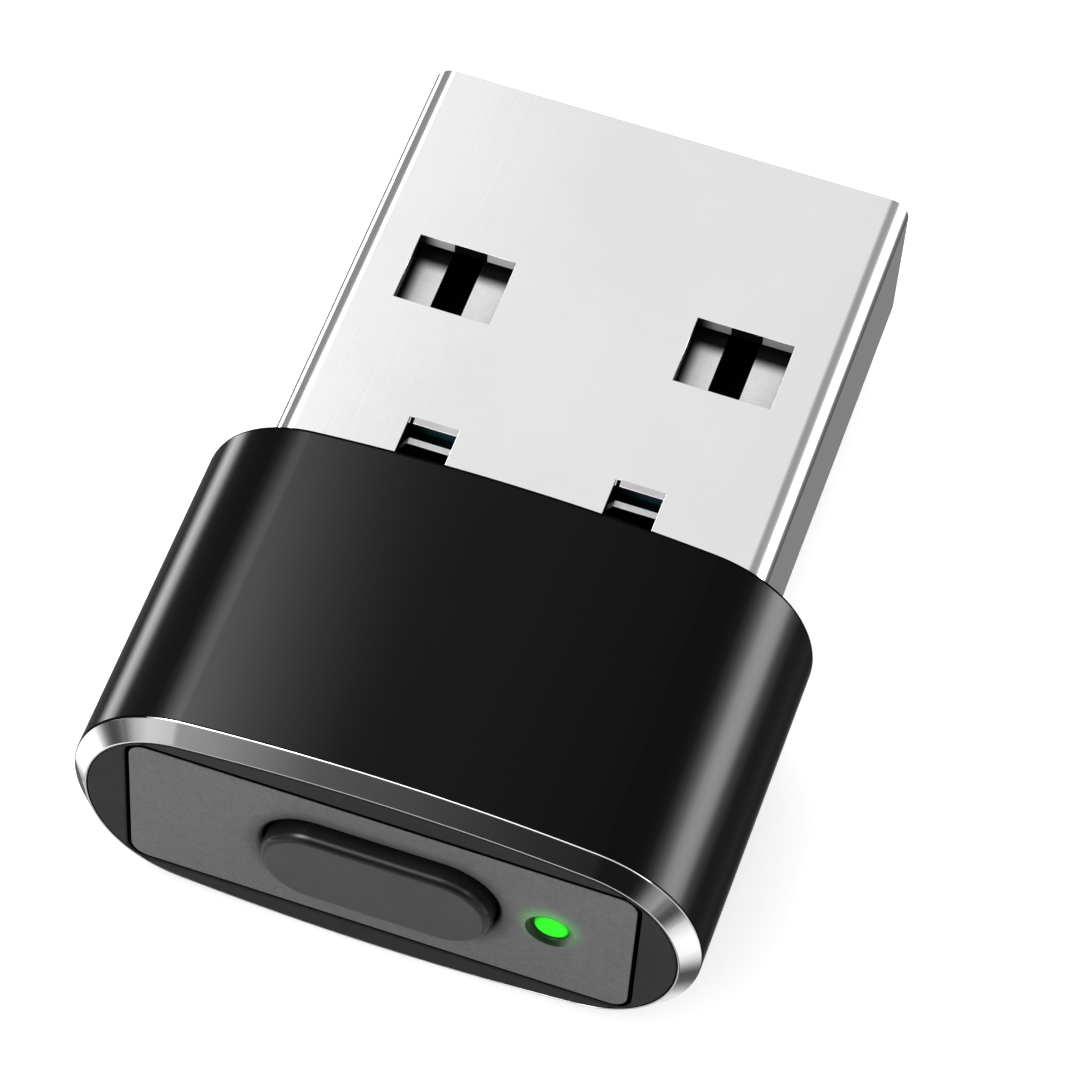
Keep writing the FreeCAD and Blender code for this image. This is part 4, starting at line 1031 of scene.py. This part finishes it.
def make_small_parts():
    """The pads stand round the controller's middle; the other rows start at their first part."""
    top = -0.7
    x, y, z = -4.0025, -5.075, top + 0.05
    step_x, step_y, aside_x, aside_y = 0.5788, 0.584, 1.307, 1.32
    make_rows("controller_pad_rows", "controller_pads", "solder", [
        (4, (x + side * aside_x, y - 1.5 * step_y, z), (0, step_y, 0), (0.52, 0.28, 0.1)) for side in (-1, 1)] + [
        (4, (x - 1.5 * step_x, y + side * aside_y, z), (step_x, 0, 0), (0.28, 0.52, 0.1)) for side in (-1, 1)],
        0.015)
    make_rows("contact_solder_beads", "contact_solder", "solder", [
        (2, (-3.5, -3.1, top + 0.09), (7, 0, 0), (1.16, 0.3, 0.18)),
        (2, (-1.0, -3.1, top + 0.09), (2, 0, 0), (1.16, 0.3, 0.18))], bead=True)
    make_rows("shell_solder_joints", "shell_solder", "solder", [
        (2, (-5.65, -2.45, -1.0), (11.3, 0, 0), (0.1, 1.1, 0.6))], 0.02)
    make_rows("switch_terminal_rows", "switch_terminals", "solder", [
        (2, (-2.12, -6.35, top + 0.075), (4.24, 0, 0), (0.4, 0.5, 0.15)),
        (2, (-2.12, -5.25, top + 0.075), (4.24, 0, 0), (0.4, 0.5, 0.15))], 0.03)
    make_rows("capacitor_row", "capacitors", "capacitor_ceramic", [
        (3, (5.2, -3.175, top + 0.25), (0, -1.225, 0), (0.5, 0.56, 0.5))], 0.02)
    make_rows("capacitor_end_rows", "capacitor_ends", "solder", [
        (3, (5.2, -3.175 + side, top + 0.25), (0, -1.225, 0), (0.5, 0.22, 0.5)) for side in (-0.39, 0.39)], 0.04)
    make_rows("resistor_row", "resistors", "chip_plastic", [
        (3, (-1.1, -4.4, -1.46), (1.1, 0, 0), (0.5, 0.56, 0.32))], 0.02)
    make_rows("resistor_end_rows", "resistor_ends", "solder", [
        (3, (-1.1, -4.4 + side, -1.46), (1.1, 0, 0), (0.5, 0.22, 0.32)) for side in (-0.39, 0.39)], 0.04)


NODE_FINISHES = {
    "front_collar": "frame_plastic", "ground_contact": "contact_gold", "data_plus_contact": "contact_gold",
    "data_minus_contact": "contact_gold", "power_contact": "contact_gold", "circuit_board": "board_laminate",
    "switch_base": "switch_plastic", "switch_cover": "switch_metal", "switch_plunger": "plunger_plastic",
    "snap_dome": "switch_metal", "light_package": "light_ceramic", "light_window": "light_resin",
    "controller": "chip_plastic", "crystal_base": "crystal_ceramic", "crystal_lid": "switch_metal",
}


def finish_nodes():
    """The solids that stay as they are get their finish."""
    for node, finish in NODE_FINISHES.items():
        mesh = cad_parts[node].data
        mesh.materials.clear()
        mesh.materials.append(MATERIALS[finish])


# Stage

def make_camera():
    """The photograph's camera, solved from the plug's known width and thickness."""
    focal_pixels, photo_pixels = 5165.758, 1080.0
    data = bpy.data.cameras.new("camera")
    data.sensor_width = 36.0
    data.lens = 36.0 * focal_pixels / photo_pixels
    data.shift_x = 0.000476
    data.shift_y = -0.00005
    data.clip_start = 0.005
    camera = bpy.data.objects.new("camera", data)
    turn = Vector((2.50108311, 0.432883649, -0.0679506449))
    rows = Matrix.Rotation(turn.length, 3, turn.normalized())
    axes = Matrix((rows[0], -rows[1], -rows[2])).transposed()
    place = Matrix.Translation(Vector((17.81775, -65.10469, 98.97304)) * MM)
    camera.matrix_world = place @ axes.to_4x4()
    bpy.context.scene.collection.objects.link(camera)
    bpy.context.scene.camera = camera


def make_floor():
    work = bmesh.new()
    size = 3000.0
    corners = ((-size, -size), (size, -size), (size, size), (-size, size))
    work.faces.new([work.verts.new((x, y, 0.0)) for x, y in corners])
    thing = as_object("floor", work)
    thing.data.transform(Matrix.Translation((0, 0, FLOOR)))
    thing.data.transform(Matrix.Scale(MM, 4))
    material, tree, shader = new_material("pale_floor", Base_Color=(0.9, 0.9, 0.9), Roughness=0.9,
                                          Specular_IOR_Level=0.0)
    path = tree.nodes.new("ShaderNodeLightPath")
    shader.inputs["Emission Color"].default_value = (1.0, 1.0, 1.0, 1.0)
    mirrored = math_node(tree, "MAXIMUM", path.outputs["Is Glossy Ray"], path.outputs["Is Transmission Ray"])
    lift = plus(tree, times(tree, path.outputs["Is Camera Ray"], 0.58), times(tree, mirrored, 0.1))
    tree.links.new(lift, shader.inputs["Emission Strength"])
    surface = tree.nodes.new("ShaderNodeNewGeometry")
    from_below = times(tree, surface.outputs["Backfacing"], path.outputs["Is Camera Ray"])
    glass, either = tree.nodes.new("ShaderNodeBsdfTransparent"), tree.nodes.new("ShaderNodeMixShader")
    for source, target in ((from_below, either.inputs["Fac"]), (shader.outputs[0], either.inputs[1]),
                           (glass.outputs[0], either.inputs[2]),
                           (either.outputs[0], tree.nodes["Material Output"].inputs["Surface"])):
        tree.links.new(source, target)
    thing.data.materials.append(material)


def make_lamp(name, aim, distance, size, power):
    """An area lamp in this direction from the object, turned to face it; millimetres."""
    data = bpy.data.lights.new(name, "AREA")
    data.shape = "RECTANGLE"
    data.size, data.size_y = size[0] * MM, size[1] * MM
    data.energy = power
    lamp = bpy.data.objects.new(name, data)
    direction = Vector(aim).normalized()
    lamp.location = direction * distance * MM
    lamp.rotation_euler = direction.to_track_quat("Z", "Y").to_euler()
    lamp.visible_glossy = False
    bpy.context.scene.collection.objects.link(lamp)


def new_glow(name, stops, value_of, level_of=None):
    """A light of its own for a card: its level runs over the stops (place, level)."""
    strength = max(level for _, level in stops)
    material = bpy.data.materials.new(name)
    material.use_nodes = True
    tree = material.node_tree
    tree.nodes.clear()
    ramp = tree.nodes.new("ShaderNodeValToRGB")
    elements = ramp.color_ramp.elements
    while len(elements) < len(stops):
        elements.new(0.5)
    for element, (where, level) in zip(elements, stops):
        element.position = where
        element.color = (level / strength, level / strength, level / strength, 1.0)
    place = value_of(tree)
    tree.links.new(place, ramp.inputs["Fac"])
    level = times(tree, ramp.outputs["Color"], strength)
    light = tree.nodes.new("ShaderNodeEmission")
    tree.links.new(level_of(tree, place, level) if level_of else level, light.inputs["Strength"])
    output = tree.nodes.new("ShaderNodeOutputMaterial")
    tree.links.new(light.outputs[0], output.inputs["Surface"])
    return material


def only_in_reflections(card):
    card.visible_camera = card.visible_diffuse = card.visible_shadow = card.visible_transmission = False
    return card


def own_place(tree):
    return split(tree, tree.nodes.new("ShaderNodeTexCoord").outputs["Object"])


def make_card(name, corners, stops):
    """A flat studio card that only reflections show. Its stops are (x, level)."""
    left, right = stops[0][0], stops[-1][0]
    work = bmesh.new()
    work.faces.new([work.verts.new(corner) for corner in corners])
    card = as_object(name, work)
    card.data.transform(Matrix.Scale(MM, 4))

    def across(tree):
        node = tree.nodes.new("ShaderNodeMapRange")
        node.inputs["From Min"].default_value = left * MM
        node.inputs["From Max"].default_value = right * MM
        tree.links.new(own_place(tree)["X"], node.inputs["Value"])
        return node.outputs[0]
    places = [((x - left) / (right - left), level) for x, level in stops]
    card.data.materials.append(new_glow(name, places, across))
    return only_in_reflections(card)


def make_tent(name, radius, ends, stops, fades=True):
    """A studio tent round the long axis. The stops are (degrees from the right over the top to the left, level)."""
    work = bmesh.new()
    first, last = stops[0][0], stops[-1][0]
    count = 120
    angles = [math.radians(first + (last - first) * index / count) for index in range(count + 1)]
    rows = [[work.verts.new((radius * math.cos(angle), y, radius * math.sin(angle))) for angle in angles]
            for y in ends]
    for index in range(count):
        work.faces.new((rows[0][index], rows[0][index + 1], rows[1][index + 1], rows[1][index]))
    tent = as_object(name, work)
    tent.data.transform(Matrix.Scale(MM, 4))

    def at(degrees):
        """Where this angle from the top towards the left lies round the tent, as a share of a turn."""
        return 0.5 + degrees / 360

    def around(tree):
        parts = own_place(tree)
        turn = math_node(tree, "ARCTAN2", times(tree, parts["X"], -1.0), parts["Z"])
        return plus(tree, math_node(tree, "DIVIDE", turn, 2 * math.pi), 0.5)

    def fading(tree, place, level):
        """The left panel is strongest near the rear of the object, and both panels are dim beside the plug.

        The right panel is dim all along the object, so that its side doesn't vanish in the white backdrop, and
        the top is stronger before the object, for the bright line along the sleeve's rear edge. Far beyond the
        plug's tip the whole tent is dim, for views from behind."""
        along = own_place(tree)["Y"]
        left = remap(tree, place, at(14), at(18))
        gain = times(tree, minus(tree, 0.182, along), 20.0)
        gain = math_node(tree, "MAXIMUM", math_node(tree, "MINIMUM", gain, 0.6), -0.6)
        level = times(tree, level, plus(tree, times(tree, left, gain), 1.0))
        top = times(tree, remap(tree, place, at(-60), at(-45)), remap(tree, place, at(22), at(15)))
        top = times(tree, top, remap(tree, along, -0.01, -0.035))
        level = times(tree, level, remap(tree, top, 0.0, 1.0, 1.0, 3.5))
        right = remap(tree, place, at(-50), at(-60))
        beside_plug = times(tree, math_node(tree, "MAXIMUM", remap(tree, along, -0.002, 0.004), right),
                            remap(tree, along, 0.15, 0.12))
        level = math_node(tree, "MINIMUM", level, remap(tree, beside_plug, 0.0, 1.0, 40.0, 0.62))
        return math_node(tree, "MINIMUM", level, remap(tree, along, 0.27, 0.33, 40.0, 0.75))
    places = [(at(angle - 90), level) for angle, level in stops]
    tent.data.materials.append(new_glow(name, places, around, fading if fades else None))
    return only_in_reflections(tent)


def make_world():
    world = bpy.data.worlds.new("studio")
    world.use_nodes = True
    tree = world.node_tree
    background = tree.nodes["Background"]
    background.inputs["Color"].default_value = (1.0, 1.0, 1.0, 1.0)
    path = tree.nodes.new("ShaderNodeLightPath")
    seen = math_node(tree, "MAXIMUM", path.outputs["Is Camera Ray"], path.outputs["Is Glossy Ray"])
    seen = math_node(tree, "MAXIMUM", seen, path.outputs["Is Transmission Ray"])
    tree.links.new(remap(tree, seen, 0.0, 1.0, 0.65, 1.0), background.inputs["Strength"])
    bpy.context.scene.world = world


def make_lamps():
    make_lamp("key", (-0.45, 0.25, 0.86), 300, (160, 160), 0.24)
    make_lamp("fill", (-0.7, -0.62, 0.35), 300, (240, 160), 0.24)
    make_tent("tent", 300, (-190, 600), (
        (-8, 9.0), (0, 15.0), (8, 20.0), (16, 19.0), (24, 8.5), (32, 3.0), (40, 0.7), (52, 0.38), (76, 0.36),
        (83, 0.48), (92, 0.75), (96, 0.9), (103, 0.9), (106, 1.3), (110, 2.6), (113, 4.2), (116, 6.5),
        (121, 10.0), (127, 8.0), (133, 4.5), (140, 1.2), (148, 0.32), (172, 0.32), (184, 0.5), (188, 1.6)))
    make_tent("tent_flag", 298, (194, 600), ((130, 1.05), (135, 0.5), (140, 0.33), (152, 0.29), (180, 0.30)), False)
    low = FLOOR + 0.003
    beside, before = -7.8, -205.0

    def flat(*corners):
        return [(x, y, low) for x, y in corners]

    def bright(*stops):
        return [(x, level * 1.39) for x, level in stops]
    make_card("floor_card", flat((-45, beside), (45, beside), (45, 100), (-45, 100)), (
        (-45, 2.2), (-36, 5.5), (-28, 7.0), (-20.7, 8.0), (-17.5, 4.0), (-14.9, 0.8), (-13.5, 0.15), (5.0, 0.15),
        (5.7, 0.235), (7.6, 0.235), (8.2, 0.07), (9.4, 0.07), (10.8, 0.17), (14.0, 0.18), (16.2, 0.25), (29.7, 2.0),
        (45, 5.5)))
    make_card("left_card", flat((-300, beside), (-45, beside), (-45, 500), (-300, 500)), (
        (-300, 0.5), (-96, 0.5), (-45, 2.2)))
    make_card("right_card", flat((45, 5), (300, 165), (300, 500), (45, 500)), (
        (45, 5.5), (60, 9.0), (120, 14.0), (300, 14.0)))
    make_card("near_left_card", flat((-36, -36), (-9, -36), (-9, beside), (-12, beside), (-36, -16)), bright(
        (-36, 0.08), (-30, 0.08), (-24, 0.16), (-20.6, 0.38), (-18, 0.8), (-16.5, 1.2), (-10.2, 1.2), (-9.4, 0.5),
        (-9.0, 0.3)))
    make_card("near_right_card", flat((6.3, -36), (36, -36), (36, -26), (10, beside), (6.3, beside)), bright(
        (6.3, 0.67), (6.8, 0.66), (7.2, 0.69), (7.6, 0.41), (8.2, 0.11), (8.9, 0.08), (9.3, 0.25), (10.1, 0.78),
        (11.0, 1.1), (12.7, 1.18), (14.8, 1.0), (18.1, 0.48), (22, 0.2), (26.4, 0.08), (36, 0.1)))
    make_card("front_left_card", flat((-330, before), (-36, before), (-36, -16), (-330, -150)), bright(
        (-330, 0.13), (-300, 0.17), (-102, 0.2), (-60, 0.12), (-36, 0.08)))
    make_card("front_right_card", flat((36, before), (300, before), (300, -190), (36, -26)), bright(
        (36, 0.1), (53, 0.19), (300, 0.3)))
    make_card("front_card", [(-330, -200, -4), (240, -200, -4), (240, -200, 204), (-330, -200, 204)], bright(
        (-330, 0.12), (-300, 0.16), (-278, 0.3), (-251, 0.5), (-192, 0.72), (-175, 0.72), (-108, 0.62), (-99, 0.42),
        (-87, 0.34), (-54, 0.10), (-3, 0.03), (35, 0.01), (124, 0.01), (144, 0.03), (158, 0.1), (172, 0.22),
        (200, 0.36), (240, 0.16)))


make_camera()
make_world()
make_floor()
make_lamps()
make_sleeve()
make_inner_frame()
make_rear_plate()
make_mode_button()
make_light_pipe()
make_plug_shell()
make_plug_insulator()
make_small_parts()
finish_nodes()

bpy.context.scene.view_settings.view_transform = "Standard"
